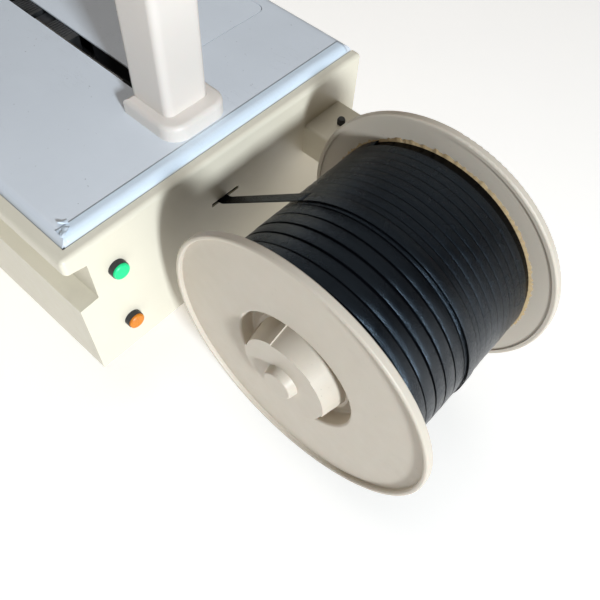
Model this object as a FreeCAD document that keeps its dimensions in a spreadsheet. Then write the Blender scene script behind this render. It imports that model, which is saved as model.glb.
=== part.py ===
"""Strapping machine: a low table with a strap arch, a sealing head and a strap reel on a side bracket.

Row frame: +X along the table towards the reel, +Y away from the operator, +Z up, origin on the floor
under the middle of the whole machine.  Every length is in millimetres.
"""
import FreeCAD, Part
import os
import re
import Sketcher
from FreeCAD import Placement, Rotation, Vector

DIMENSIONS = {
    # housing
    "machine_right": 282, "machine_left": -620.8, "half_depth": 205,
    "body_bottom": 75, "body_top": 262.5, "rear_top": 255, "gauge": 2, "lip": 11.6,
    "top_round": 5, "inner_round": 3,
    "groove_floor": -183, "groove_low_out": 187.2, "groove_low_in": 189.2,
    "groove_high_in": 240.8, "groove_high_out": 244.8,
    "end_vent_first": -60, "end_vent_pitch": 15, "end_vent_width": 6, "vent_low": 130, "end_vent_high": 190,
    "rear_vent_left": -420, "rear_vent_right": 60, "rear_vent_pitch": 12, "rear_vent_width": 5,
    "rear_vent_high": 200,
    "screw_inset": 30, "screw_left": -300, "screw_right": -30, "screw_low": 88, "screw_high": 240,
    "screw_head": 4, "screw_shank": 2.5, "screw_reach": 14,
    "frame_inset": 18, "rail_near": 155, "post_near": 120, "bar_size": 20,
    # feet
    "leg_left": -540, "leg_right": 205, "leg_depth": 140, "leg_radius": 24, "leg_top_radius": 19,
    "leg_step": 12, "leg_well": 9, "leg_seat": 20, "leg_bolt": 4.95, "leg_bolt_head": 8.5,
    "leg_bolt_head_height": 6.5, "leg_bolt_stand": 12, "leg_nut": 9, "leg_nut_height": 8,
    # table top
    "plate_right": 269.6, "plate_left": -608.4, "plate_front": -192.6, "plate_rear": 203, "plate_top": 268.3,
    "plate_gauge": 2, "rim_bottom": 256, "plate_round": 10, "relief": 2.5,
    "slot_front": -18, "slot_rear": 0.5, "slot_end": 196,
    "cover_edge": 155, "cover_rear": 182, "cover_gap": 0.8, "cover_round": 11,
    "rib_front": 90, "rib_gauge": 3, "rib_end": 134, "rib_depth": 14,
    "subframe_bottom": 252, "cross_gap": 2.5, "cross_lap": 10,
    "channel_bottom": 246, "channel_wall": 2, "channel_end": 3,
    "strip_left": -11, "strip_right": 139, "strip_gauge": 1.8, "strip_bottom": 254, "strip_proud": 0.5,
    # cover hinges
    "hinge_place": -24, "hinge_half": 25, "knuckle_half": 9, "knuckle_radius": 2.6, "hinge_pin": 1.2,
    "hinge_rise": 2.7, "leaf_gauge": 1.5, "cover_leaf": 24, "table_leaf": 8,
    # strap arch
    "arch_middle": -169.4, "post_inner": 176, "post_outer": 233, "post_front": -35, "post_rear": 19,
    "post_round": 8.5, "moulding": 4, "beam_under": 768, "beam_top": 822.5, "beam_round": 45,
    "beam_cut": 33, "beam_mouth": 8,
    "pad_inner": 178.5, "pad_outer": 251, "pad_front": -46.5, "pad_rear": 31, "pad_tall": 17,
    "pad_corner": 20, "pad_edge": 5, "pad_gap": 0.2,
    "track_front": -19, "track_rear": 2, "track_depth": 12, "track_wall": 2,
    "flap_axis": 2.3, "flap_axis_depth": -0.2, "barrel": 1.7, "wire": 0.8, "running": 0.05,
    "flap_front": -18.6, "flap_low": 300, "flap_high": 760, "flap_reach": 336, "flap_short": 8,
    "flap_slack": 0.2,
    # sealing head
    "head_left": -75, "head_right": 65, "head_half": 45, "head_bottom": 100, "head_top": 240,
    "head_wall": 8, "head_side": 6,
    "right_ram": 3, "right_ram_end": 43, "middle_ram": -20, "middle_ram_end": 0,
    "left_ram": -59, "left_ram_end": -23,
    "ram_front": -15.8, "ram_rear": -0.2, "ram_base": 170.4, "ram_top": 265.8, "press_top": 248,
    "tooth_pitch": 4, "tooth_first": 2, "tooth_width": 1.2, "tooth_depth": 0.8,
    "guide_front": -26, "guide_rear": 10, "guide_bottom": 195, "guide_top": 238, "guide_gap": 0.3,
    "slide_left": -21, "slide_right": 1, "slide_rear": 52, "slide_bottom": 258, "slide_top": 262,
    "blade_left": -18, "blade_right": -2, "blade_tip": 3, "blade_rear": 79,
    "blade_bottom": 252, "blade_top": 253.5, "holder_front": 64, "holder_bottom": 249, "holder_top": 256,
    "bracket_left": -30, "bracket_right": 10, "bracket_thick": 13, "bracket_top": 265.4, "bracket_gap": 0.4,
    # drive
    "cam_axis": -8, "cam_height": 150, "cam_shaft_radius": 10, "cam_radius": 16, "cam_throw": 4,
    "cam_half": 7, "shaft_left": -119, "shaft_spare": 7,
    "gear_left": -200, "gear_right": -104, "gear_half": 55, "gear_round": 8, "gear_bore": 16,
    "gear_foot_inset": 5, "gear_foot_half": 50,
    "motor_left": -395, "motor_radius": 52, "motor_bell": 23, "motor_flange": 14, "motor_gap": 15,
    "fin_first": -366, "fin_pitch": 12, "fin_width": 4, "fin_depth": 4,
    "terminal_left": -330, "terminal_right": -260, "terminal_low": 130, "terminal_high": 170,
    "terminal_sink": 12, "terminal_proud": 22,
    # electrical box and inlet
    "box_left": -575, "box_right": -430, "box_front": 5, "box_rear": 125, "box_top": 205,
    "gland_first": 35, "gland_pitch": 20, "gland_radius": 7, "gland_height": 150, "gland_length": 8,
    "inlet_left": -534, "inlet_right": -506, "inlet_low": 110, "inlet_high": 130.5, "inlet_depth": 25,
    "inlet_wall": 2.5, "inlet_socket": 18, "blade_reach": 4, "pin_side": 6.5, "pin_low": 5,
    "pin_high": 11.5, "pin_half": 1, "pin_width": 4,
    # strap feed
    "roll_place": 115, "feed_radius": 28, "pinch_radius": 14, "nip": 0.7,
    "roll_front": -17.5, "roll_rear": 1, "spindle_front": -19, "spindle_rear": 24,
    "feed_spindle": 6, "pinch_spindle": 4, "ring_groove": 1.5,
    "plate_near": 8, "plate_far": 16, "plate_half_width": 35, "plate_high": 235,
    "plate_foot": 42, "plate_foot_gauge": 6,
    "strap_width": 13.5, "strap_gauge": 0.8, "strap_middle": -17, "strap_height": 198.3,
    "slit_front": -32.1, "slit_rear": 6.5, "slit_half": 2.4,
    "tunnel_left": 165, "tunnel_half": 8, "tunnel_wall": 3.5, "tunnel_side": 3, "tunnel_gap": 1,
    "pool_left": 158, "pool_right": 241, "pool_front": -60, "pool_rear": 45, "pool_top": 182,
    "bend_place": 287, "bend_round": 6, "lead_end": 100,
    # push buttons
    "button_place": -156, "green_height": 212.5, "orange_height": 123,
    "bezel_radius": 9.6, "bezel_proud": 6.5, "bezel_floor": 0.4, "button_proud": 9.6,
    "cap_radius": 8.9, "cap_bevel": 0.9, "cap_base": 2.9, "cap_gap": 0.2,
    "stem_radius": 7.95, "stem_hole": 8, "stem_length": 40, "stem_nut": 2.5, "stem_nut_gauge": 5,
    # front controls
    "control_left": -570, "control_right": -410, "control_low": 193, "control_high": 237,
    "control_proud": 10, "dial_radius": 17, "dial_height": 215, "dial_taper": 2,
    "dial_front": 20.5, "dial_back": 10.5, "dial_stem": 4, "dial_stem_end": 2,
    "tension_place": 70, "heat_place": 125, "grip_notch": 2.4, "pointer_half": 0.8,
    "switch_left": 13, "switch_right": 37, "switch_half": 15.5, "rocker_gap": 1, "rocker_sink": 7.2,
    "rocker_base": 4, "rocker_half": 12.5, "rocker_crown": 6, "rocker_tip": 13, "rocker_waist": 4.5,
    # reel
    "reel_place": 472, "reel_height": 195.2, "front_flange_radius": 148.8, "rear_flange_radius": 146,
    "rim": 8.5, "dish": 4.6, "front_rim": -119.9, "rear_back": 92.3, "lip_ring": 5, "inner_lip": 1.3,
    "rim_round": 2, "recess_round": 2.5,
    "drum_radius": 100, "drum_wall": 4, "coil_radius": 119.5, "coil_gap": 0.5, "touch_gap": 0.4,
    "recess_radius": 66.2, "recess_floor": -98, "recess_wall": 3.9,
    "sleeve_radius": 20, "sleeve_front": -114, "sleeve_spare": 0.7,
    "shaft_radius": 12.5, "shaft_front": -118, "shaft_rear": 194.5, "collar_gap": 1.2,
    "nut_flange_radius": 55, "nut_base_radius": 51.5, "nut_tip_radius": 46.5, "nut_ramp": 1.8,
    "nut_base": -103, "nut_tip": -128.4, "nut_seat": -98.4, "nut_bore_end": -118.6, "nut_step_angle": 50,
    "nut_core": 40.5, "nub_radius": 17.5, "nub_tip_radius": 15.5, "nub_tip": -137, "nub_round": 1.5,
    "washer_radius": 22, "washer_gauge": 2.5, "shaft_nut_radius": 20, "shaft_nut_height": 13.5,
    # reel bracket
    "arm_front": 111.2, "arm_rear": 172.5, "arm_low": 174.3, "arm_high": 216.4, "arm_end": 497,
    "arm_wall": 3, "arm_round": 4, "arm_root": 6, "arm_bolt": 3.95, "arm_bolt_side": 12,
    "arm_bolt_rise": 11, "arm_bolt_head": 7.5, "arm_bolt_head_height": 5.3,
    "knob_place": 309, "knob_depth": 143, "knob_radius": 4.6, "knob_tip_radius": 3.6, "knob_shank": 2.5,
    "knob_gap": 0.4, "knob_side": 5.5, "knob_tip": 7.5, "knob_notch": 0.9,
}

doc = FreeCAD.newDocument("strapping_machine")
sheet = doc.addObject("Spreadsheet::Sheet", "dims")
for row, (alias, number) in enumerate(DIMENSIONS.items(), 1):
    sheet.set(f"A{row}", alias)
    sheet.set(f"B{row}", str(number))
    sheet.setAlias(f"B{row}", alias)
doc.recompute()

ALIAS = re.compile(r"\b(" + "|".join(DIMENSIONS) + r")\b")
AXES = {"X": Vector(1, 0, 0), "Y": Vector(0, 1, 0), "Z": Vector(0, 0, 1)}
TURNS = {"X": Rotation(AXES["Y"], 90), "Y": Rotation(AXES["X"], -90), "Z": Rotation()}
NODES = {}


# ---------------------------------------------------------------- helpers

def bound(item, field, text):
    """Bind a property to an expression whose bare words are cells of the sheet."""
    item.setExpression(field, ALIAS.sub(r"dims.\1", str(text)))


def dim(alias):
    return float(sheet.get(alias))


def node(label, item):
    """Register an object as a finished sub-part."""
    item.Label = label
    NODES[label] = item
    return item


def block(x, y, z, name="block"):
    """A box from three (low, high) pairs of expressions."""
    item = doc.addObject("Part::Box", name)
    for field, base, (low, high) in (("Length", "x", x), ("Width", "y", y), ("Height", "z", z)):
        bound(item, field, f"({high}) - ({low})")
        bound(item, f"Placement.Base.{base}", low)
    return item


def seat(item, axis, across, low):
    """Turn a round primitive along an axis and place it: across holds the other two coordinates."""
    item.Placement = Placement(Vector(), TURNS[axis])
    fields = [letter for letter in "xyz" if letter != axis.lower()]
    for field, text in zip(fields, across):
        bound(item, f"Placement.Base.{field}", text)
    bound(item, f"Placement.Base.{axis.lower()}", low)
    return item


def rod(axis, across, radius, low, high, name="rod"):
    item = doc.addObject("Part::Cylinder", name)
    bound(item, "Radius", radius)
    bound(item, "Height", f"({high}) - ({low})")
    return seat(item, axis, across, low)


def cone(axis, across, radius_low, radius_high, low, high, name="cone"):
    item = doc.addObject("Part::Cone", name)
    bound(item, "Radius1", radius_low)
    bound(item, "Radius2", radius_high)
    bound(item, "Height", f"({high}) - ({low})")
    return seat(item, axis, across, low)


def hexagon(axis, across, radius, low, high, name="hexagon"):
    item = doc.addObject("Part::Prism", name)
    item.Polygon = 6
    bound(item, "Circumradius", radius)
    bound(item, "Height", f"({high}) - ({low})")
    return seat(item, axis, across, low)


def join(pieces, name="join"):
    if len(pieces) == 1:
        return pieces[0]
    item = doc.addObject("Part::MultiFuse", name)
    item.Shapes = pieces
    item.Refine = True
    return item


def carve(base, tools, name="carve"):
    """Cuts the tools out of the base; a tool runs 1 mm past each face that it opens."""
    item = doc.addObject("Part::Cut", name)
    item.Base = base
    item.Tool = join(tools)
    item.Refine = True
    return item


def chosen(shape, axis, test):
    """Numbers of the straight edges along an axis whose middle passes the test."""
    numbers = []
    for number, edge in enumerate(shape.Edges, 1):
        if edge.Degenerated or not isinstance(edge.Curve, Part.Line):
            continue
        run = edge.tangentAt(edge.FirstParameter)
        if abs(run.dot(AXES[axis])) > 0.999 and test(edge.CenterOfMass):
            numbers.append(number)
    return numbers


PLANES = {"Z": "XY_Plane", "Y": "XZ_Plane", "X": "YZ_Plane"}


def sketch(body, normal, loops, offset):
    """A sketch across an axis at a height along it; loops are outlines or (x, y, radius) circles."""
    item = body.newObject("Sketcher::SketchObject", "outline")
    plane = [part for part in body.Origin.OriginFeatures if part.Role == PLANES[normal]][0]
    item.AttachmentSupport = [(plane, "")]
    item.MapMode = "FlatFace"
    bound(item, "AttachmentOffset.Base.z", f"-({offset})" if normal == "Y" else offset)
    for loop in loops:
        if isinstance(loop, tuple):
            add_circle(item, *loop)
        else:
            add_outline(item, loop)
    return item


def add_circle(item, x, y, radius):
    circle = item.addGeometry(Part.Circle(Vector(), AXES["Z"], 1.0), False)
    for kind, text in (("DistanceX", x), ("DistanceY", y)):
        place = item.addConstraint(Sketcher.Constraint(kind, circle, 3, 1.0))
        bound(item, f"Constraints[{place}]", text)
    place = item.addConstraint(Sketcher.Constraint("Radius", circle, 1.0))
    bound(item, f"Constraints[{place}]", radius)


def add_outline(item, points):
    """A closed run of straight lines whose corners are all fixed by two bound distances."""
    count = len(points)
    ring = [Rotation(AXES["Z"], 360 * step / count).multVec(Vector(50, 0, 0)) for step in range(count)]
    lines = [
        item.addGeometry(Part.LineSegment(ring[step], ring[(step + 1) % count]), False)
        for step in range(count)
    ]
    for step in range(count):
        after = lines[(step + 1) % count]
        item.addConstraint(Sketcher.Constraint("Coincident", lines[step], 2, after, 1))
    for line, point, corner in zip(lines, points, ring):
        for kind, text, start in (("DistanceX", point[0], corner.x), ("DistanceY", point[1], corner.y)):
            place = item.addConstraint(Sketcher.Constraint(kind, line, 1, start))
            bound(item, f"Constraints[{place}]", text)


def rectangle(low_x, high_x, low_y, high_y):
    return [(low_x, low_y), (high_x, low_y), (high_x, high_y), (low_x, high_y)]


def pad(body, normal, loops, low, high):
    """Material between two heights along an axis."""
    item = body.newObject("PartDesign::Pad", "pad")
    item.Profile = sketch(body, normal, loops, high if normal == "Y" else low)
    bound(item, "Length", f"({high}) - ({low})")
    doc.recompute()
    return item


def pocket(body, normal, loops, low, high):
    """Removes the material between two heights along an axis; the volume has to shrink."""
    before = body.Shape.Volume
    item = body.newObject("PartDesign::Pocket", "pocket")
    item.Profile = sketch(body, normal, loops, low if normal == "Y" else high)
    bound(item, "Length", f"({high}) - ({low})")
    doc.recompute()
    if item.Shape.Volume >= before:
        raise RuntimeError(f"a pocket of {body.Label} cuts nothing")
    return item


def fillet(body, radius, axis, test):
    """Rounds the edges of a body's last feature that run along an axis and pass the test."""
    base = body.Tip
    item = body.newObject("PartDesign::Fillet", "round")
    names = [f"Edge{number}" for number in chosen(base.Shape, axis, test)]
    if not names:
        raise RuntimeError(f"no edge of {body.Label} to round")
    item.Base = (base, names)
    bound(item, "Radius", radius)
    doc.recompute()
    return item


def new_body(label):
    return node(label, doc.addObject("PartDesign::Body", label))


def mirrored(text, side):
    """An X place on the right of the arch's middle, or its mirror on the left."""
    return text if side > 0 else f"2 * arch_middle - ({text})"


def span(low, high, side):
    """A (low, high) pair of X places, swapped when it is mirrored to the left."""
    return (low, high) if side > 0 else (mirrored(high, -1), mirrored(low, -1))


SIDES = {"right": 1, "left": -1}


# ---------------------------------------------------------------- housing

def groove_outline(inset):
    """The section of the housing, with the groove along its front; inset is the sheet left around it."""
    return [
        (f"-half_depth + {inset}", f"body_bottom + {inset}"),
        (f"half_depth - {inset}", f"body_bottom + {inset}"),
        (f"half_depth - {inset}", f"body_top - {inset}"),
        (f"-half_depth + {inset}", f"body_top - {inset}"),
        (f"-half_depth + {inset}", f"groove_high_out + {inset}"),
        (f"groove_floor + {inset}", f"groove_high_in + {inset}"),
        (f"groove_floor + {inset}", f"groove_low_in - {inset}"),
        (f"-half_depth + {inset}", f"groove_low_out - {inset}"),
    ]


def end_pan(label, side):
    """A pressed end panel: an outer face with a flange turned in all round."""
    body = new_body(label)
    if side > 0:
        low, high = "machine_right - lip", "machine_right"
        hollow = (low, "machine_right - gauge")
    else:
        low, high = "machine_left", "machine_left + lip"
        hollow = ("machine_left + gauge", high)
    pad(body, "X", [groove_outline("0")], low, high)
    top = dim("body_top") - 1
    half = dim("half_depth") - 1
    outer = dim("machine_right") if side > 0 else dim("machine_left")
    fillet(body, "top_round", "X", lambda spot: spot.z > top and abs(spot.y) > half)
    fillet(body, "top_round", "Y", lambda spot: spot.z > top and abs(spot.x - outer) < 1)
    if side > 0:
        cut = sketch(body, "X", [groove_outline("gauge")], hollow[0])
        item = body.newObject("PartDesign::Pocket", "pocket")
        item.Profile = cut
        item.Reversed = True
        bound(item, "Length", f"({hollow[1]}) - ({hollow[0]})")
        doc.recompute()
    else:
        pocket(body, "X", [groove_outline("gauge")], *hollow)
    return body


def right_end_panel():
    body = end_pan("right_end_panel", 1)
    holes = [("button_place", height, "stem_hole") for height in ("green_height", "orange_height")]
    holes += [(depth, height, "arm_bolt + running") for depth, height in arm_bolt_places()]
    slit = rectangle("slit_front", "slit_rear", "strap_height - slit_half", "strap_height + slit_half")
    pocket(body, "X", [slit] + holes, "machine_right - gauge - 1", "machine_right")


def left_end_panel():
    body = end_pan("left_end_panel", -1)
    vents = []
    for step in range(9):
        low = f"end_vent_first + {step} * end_vent_pitch"
        vents.append(rectangle(low, f"{low} + end_vent_width", "vent_low", "end_vent_high"))
    pocket(body, "X", vents, "machine_left", "machine_left + gauge + 1")


def front_panel():
    """The front sheet follows the groove and turns in at the top as a lip."""
    body = new_body("front_panel")
    outline = [
        ("-half_depth", "body_bottom"),
        ("-half_depth", "groove_low_out"),
        ("groove_floor", "groove_low_in"),
        ("groove_floor", "groove_high_in"),
        ("-half_depth", "groove_high_out"),
        ("-half_depth", "body_top"),
        ("-half_depth + lip", "body_top"),
        ("-half_depth + lip", "body_top - gauge"),
        ("-half_depth + gauge", "body_top - gauge"),
        ("-half_depth + gauge", "groove_high_out + gauge"),
        ("groove_floor + gauge", "groove_high_in + gauge"),
        ("groove_floor + gauge", "groove_low_in - gauge"),
        ("-half_depth + gauge", "groove_low_out - gauge"),
        ("-half_depth + gauge", "body_bottom"),
    ]
    pad(body, "X", [outline], "machine_left + lip", "machine_right - lip")
    edge = -dim("half_depth")
    top = dim("body_top")
    fillet(body, "top_round", "X", lambda spot: spot.z > top - 0.1 and abs(spot.y - edge) < 0.1)
    inner = edge + dim("gauge")
    fillet(body, "inner_round", "X",
           lambda spot: abs(spot.z - top + dim("gauge")) < 0.1 and abs(spot.y - inner) < 0.1)


def rear_screw_places():
    columns = ("machine_left + screw_inset", "screw_left", "screw_right", "machine_right - screw_inset")
    return [(x, z) for x in columns for z in ("screw_low", "screw_high")]


def rear_panel():
    """The rear sheet: a lip under the table's rim, two fields of vents, and holes for inlet and screws."""
    body = new_body("rear_panel")
    outline = [
        ("half_depth", "body_bottom"),
        ("half_depth", "rear_top"),
        ("half_depth - lip", "rear_top"),
        ("half_depth - lip", "rear_top - gauge"),
        ("half_depth - gauge", "rear_top - gauge"),
        ("half_depth - gauge", "body_bottom"),
    ]
    pad(body, "X", [outline], "machine_left + lip", "machine_right - lip")
    edge = dim("half_depth")
    top = dim("rear_top")
    fillet(body, "top_round", "X", lambda spot: spot.z > top - 0.1 and abs(spot.y - edge) < 0.1)
    inner = edge - dim("gauge")
    fillet(body, "inner_round", "X",
           lambda spot: abs(spot.z - top + dim("gauge")) < 0.1 and abs(spot.y - inner) < 0.1)
    openings = [rectangle("inlet_left", "inlet_right", "inlet_low", "inlet_high")]
    for start in ("rear_vent_left", "rear_vent_right"):
        for step in range(12):
            low = f"{start} + {step} * rear_vent_pitch"
            openings.append(rectangle(low, f"{low} + rear_vent_width", "vent_low", "rear_vent_high"))
    openings += [(x, z, "screw_head") for x, z in rear_screw_places()]
    pocket(body, "Y", openings, "half_depth - gauge - 1", "half_depth")


def panel_screws():
    """The screws that hold the rear sheet, with their heads flush in it."""
    node("panel_screws", join([
        join([
            rod("Y", place, "screw_head", "half_depth - gauge", "half_depth"),
            rod("Y", place, "screw_shank", "half_depth - screw_reach", "half_depth - gauge"),
        ])
        for place in rear_screw_places()
    ]))


def leg_places():
    return [(x, y) for x in ("leg_left", "leg_right") for y in ("-leg_depth", "leg_depth")]


def base_tray():
    """The floor sheet between the end pans."""
    body = new_body("base_tray")
    outline = rectangle("machine_left + lip", "machine_right - lip",
                        "-half_depth + gauge", "half_depth - gauge")
    holes = [(x, y, "leg_bolt + running") for x, y in leg_places()]
    pad(body, "Z", [outline] + holes, "body_bottom", "body_bottom + gauge")


def base_frame():
    """Rails of square bar on the tray, with two posts at each end under the table's subframe."""
    low = "body_bottom + gauge"
    deep = "body_bottom + gauge + bar_size"
    left, right = "machine_left + frame_inset", "machine_right - frame_inset"
    pieces = [
        block((left, right), ("-rail_near - bar_size", "-rail_near"), (low, deep)),
        block((left, right), ("rail_near", "rail_near + bar_size"), (low, deep)),
    ]
    for place in (left, f"{right} - bar_size"):
        across = (place, f"{place} + bar_size")
        pieces.append(block(across, ("-rail_near", "rail_near"), (low, deep)))
        pieces.append(block(across, ("-post_near - bar_size", "-post_near"), (deep, "subframe_bottom")))
        pieces.append(block(across, ("post_near", "post_near + bar_size"), (deep, "subframe_bottom")))
    node("base_frame", join(pieces))


def rubber_feet():
    """Four tapered rubber feet under the tray, each with a well for its bolt's head."""
    feet = []
    for place in leg_places():
        solid = join([
            rod("Z", place, "leg_radius", "0", "leg_step"),
            cone("Z", place, "leg_radius", "leg_top_radius", "leg_step", "body_bottom"),
        ])
        feet.append(carve(solid, [
            rod("Z", place, "leg_well", "0 - 1", "leg_seat"),
            rod("Z", place, "leg_bolt + running", "leg_seat - 1", "body_bottom + 1"),
        ]))
    node("rubber_feet", join(feet))


def foot_bolts():
    """A bolt up through each foot, with its head in the foot and a nut on the tray."""
    floor = "body_bottom + gauge"
    bolts = []
    for place in leg_places():
        bolts.append(join([
            hexagon("Z", place, "leg_bolt_head", "leg_seat - leg_bolt_head_height", "leg_seat"),
            rod("Z", place, "leg_bolt", "leg_seat", f"{floor} + leg_bolt_stand"),
            hexagon("Z", place, "leg_nut", floor, f"{floor} + leg_nut_height"),
        ]))
    node("foot_bolts", join(bolts))


# ---------------------------------------------------------------- table

def table_plate():
    """The pressed table sheet with rounded sides, open for the strap slot and for the cover behind it."""
    body = new_body("table_plate")
    pad(body, "Z", [rectangle("plate_left", "plate_right", "plate_front", "plate_rear")],
        "rim_bottom", "plate_top")
    base = body.Tip
    top = dim("plate_top")
    names = [
        f"Edge{number}" for number, edge in enumerate(base.Shape.Edges, 1) if edge.BoundBox.ZMin > top - 0.01
    ]
    item = body.newObject("PartDesign::Fillet", "round")
    item.Base = (base, names)
    bound(item, "Radius", "plate_round")
    doc.recompute()
    shoulder = rectangle("plate_left + plate_gauge", "plate_right - plate_gauge",
                         "plate_front + plate_gauge", "plate_rear - plate_gauge")
    pocket(body, "Z", [shoulder], "rim_bottom", "plate_top - plate_round")
    ceiling = rectangle("plate_left + plate_round", "plate_right - plate_round",
                        "plate_front + plate_round", "plate_rear - plate_round")
    pocket(body, "Z", [ceiling], "rim_bottom", "plate_top - plate_gauge")
    left_slot = mirrored("slot_end", -1)
    left_edge = mirrored("cover_edge", -1)
    window = [
        (left_slot, "slot_front"), ("slot_end", "slot_front"), ("slot_end", "slot_rear"),
        ("cover_edge", "slot_rear"), ("cover_edge", "cover_rear"), (left_edge, "cover_rear"),
        (left_edge, "slot_rear"), (left_slot, "slot_rear"),
    ]
    pocket(body, "Z", [window], "rim_bottom", "plate_top")
    rear = dim("cover_rear")
    fillet(body, "cover_round", "Z", lambda spot: abs(spot.y - rear) < 0.1)
    notches = []
    for x_edge, x_in in (("plate_left", "plate_left + relief"), ("plate_right - relief", "plate_right")):
        for y_edge, y_in in (("plate_front", "plate_front + relief"), ("plate_rear - relief", "plate_rear")):
            notches.append(rectangle(x_edge, x_in, y_edge, y_in))
    pocket(body, "Z", notches, "rim_bottom", "plate_top")


def rear_cover():
    """The lift-up cover behind the slot, with a stiffening rib under it."""
    body = new_body("rear_cover")
    left_edge = mirrored("cover_edge", -1)
    pad(body, "Z", [rectangle(f"{left_edge} + cover_gap", "cover_edge - cover_gap",
                              "slot_rear", "cover_rear - cover_gap")],
        "plate_top - plate_gauge", "plate_top")
    rear = dim("cover_rear") - dim("cover_gap")
    fillet(body, "cover_round - cover_gap", "Z", lambda spot: abs(spot.y - rear) < 0.1)
    rib = rectangle(mirrored("rib_end", -1), "rib_end", "rib_front", "rib_front + rib_gauge")
    pad(body, "Z", [rib], "plate_top - rib_depth", "plate_top - plate_gauge")


def hinge_places():
    return [mirrored("hinge_place", side) for side in SIDES.values()]


HINGE_AXIS = ("cover_rear - cover_gap / 2", "plate_top + hinge_rise")


def cover_hinge_leaves():
    """The hinge leaves on the cover, each with the two outer knuckles."""
    pieces = []
    for place in hinge_places():
        low, high = f"{place} - hinge_half", f"{place} + hinge_half"
        gap_low, gap_high = f"{place} - knuckle_half", f"{place} + knuckle_half"
        leaf = block((low, high), ("cover_rear - cover_leaf", "cover_rear - cover_gap"),
                     ("plate_top", "plate_top + leaf_gauge"))
        knuckles = [
            rod("X", HINGE_AXIS, "knuckle_radius", low, gap_low),
            rod("X", HINGE_AXIS, "knuckle_radius", gap_high, high),
        ]
        gap = block((gap_low, gap_high), ("cover_rear - 2 * knuckle_radius", "cover_rear"),
                    ("plate_top - 1", "plate_top + hinge_rise + 1"))
        bore = rod("X", HINGE_AXIS, "hinge_pin + running", f"{low} - 1", f"{high} + 1")
        pieces.append(carve(join([leaf] + knuckles), [gap, bore]))
    node("cover_hinge_leaves", join(pieces))


def table_hinge_leaves():
    """The hinge leaves on the table, each with the middle knuckle and the pin."""
    pieces = []
    for place in hinge_places():
        middle = (f"{place} - knuckle_half + cover_gap / 2", f"{place} + knuckle_half - cover_gap / 2")
        leaf = block(middle, ("cover_rear + cover_gap / 2", "cover_rear + table_leaf"),
                     ("plate_top", "plate_top + leaf_gauge"))
        knuckle = rod("X", HINGE_AXIS, "knuckle_radius", *middle)
        pin = rod("X", HINGE_AXIS, "hinge_pin", f"{place} - hinge_half", f"{place} + hinge_half")
        pieces.append(join([leaf, knuckle, pin]))
    node("table_hinge_leaves", join(pieces))


def table_subframe():
    """A ring of flat bar under the table sheet, with cross bars that carry the arch."""
    height = ("subframe_bottom", "plate_top - plate_gauge")
    left, right = "plate_left + plate_round", "plate_right - plate_round"
    front, rear = "plate_front + plate_round", "plate_rear - plate_round"
    ring = carve(
        block((left, right), (front, rear), height),
        [block((f"{left} + bar_size", f"{right} - bar_size"), (f"{front} + bar_size", f"{rear} - bar_size"),
               ("subframe_bottom - 1", "plate_top"))],
    )
    pieces = [ring]
    for side in SIDES.values():
        across = span("cover_edge - cross_lap", "post_outer", side)
        pieces.append(block(across, (f"{front} + bar_size - 1", "slot_front - cross_gap"), height))
        pieces.append(block(across, ("slot_rear + cross_gap", f"{rear} - bar_size + 1"), height))
    node("table_subframe", join(pieces))


def slot_channel():
    """The strap's channel under the slot, in two lengths with the sealing head between."""
    left = mirrored("post_outer", -1)
    outer = block((left, "post_outer"), ("slot_front - channel_wall", "slot_rear + channel_wall"),
                  ("channel_bottom", "plate_top - plate_gauge"))
    hollow = block((f"{left} + channel_end", "post_outer - channel_end"), ("slot_front", "slot_rear"),
                   ("channel_bottom + channel_wall", "plate_top"))
    head_gap = block(("head_left", "head_right"), ("-head_half", "head_half"),
                     ("channel_bottom - 1", "plate_top"))
    node("slot_channel", carve(outer, [hollow, head_gap]))


def slot_rail():
    """The bright wear strip along the front of the slot."""
    node("slot_rail", block(("strip_left", "strip_right"), ("slot_front", "slot_front + strip_gauge"),
                            ("strip_bottom", "plate_top + strip_proud")))


# ---------------------------------------------------------------- arch

def arch_post(label, side):
    """A hollow moulded post, open along its inner face over the strap's track."""
    body = new_body(label)
    wide = span("post_inner", "post_outer", side)
    pad(body, "Z", [rectangle(*wide, "post_front", "post_rear")], "plate_top", "beam_under")
    fillet(body, "post_round", "Z", lambda spot: True)
    hollow = span("post_inner + moulding", "post_outer - moulding", side)
    pocket(body, "Z", [rectangle(*hollow, "post_front + moulding", "post_rear - moulding")],
           "plate_top", "beam_under")
    opening = span("post_inner", "post_inner + moulding", side)
    pocket(body, "Z", [rectangle(*opening, "track_front", "track_rear")], "plate_top", "beam_under")


def arch_foot(side):
    """The moulded skirt round a post's base, open on the post's inner side."""
    body = doc.addObject("PartDesign::Body", "arch_foot")
    pad(body, "Z", [rectangle(*span("pad_inner", "pad_outer", side), "pad_front", "pad_rear")],
        "plate_top", "plate_top + pad_tall")
    outer = dim("pad_outer") if side > 0 else 2 * dim("arch_middle") - dim("pad_outer")
    fillet(body, "pad_corner", "Z", lambda spot: abs(spot.x - outer) < 1)
    base = body.Tip
    level = dim("plate_top") + dim("pad_tall")
    top = [
        f"Edge{number}" for number, edge in enumerate(base.Shape.Edges, 1)
        if abs(edge.BoundBox.ZMin - level) < 0.01
    ]
    item = body.newObject("PartDesign::Fillet", "round")
    item.Base = (base, top)
    bound(item, "Radius", "pad_edge")
    doc.recompute()
    hole = span("post_inner - 1", "post_outer + pad_gap", side)
    pocket(body, "Z", [rectangle(*hole, "post_front - pad_gap", "post_rear + pad_gap")],
           "plate_top", "plate_top + pad_tall")
    inside = dim("post_outer") + dim("pad_gap")
    corner = inside if side > 0 else 2 * dim("arch_middle") - inside
    fillet(body, "post_round", "Z", lambda spot: abs(spot.x - corner) < 0.1)
    return body


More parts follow.
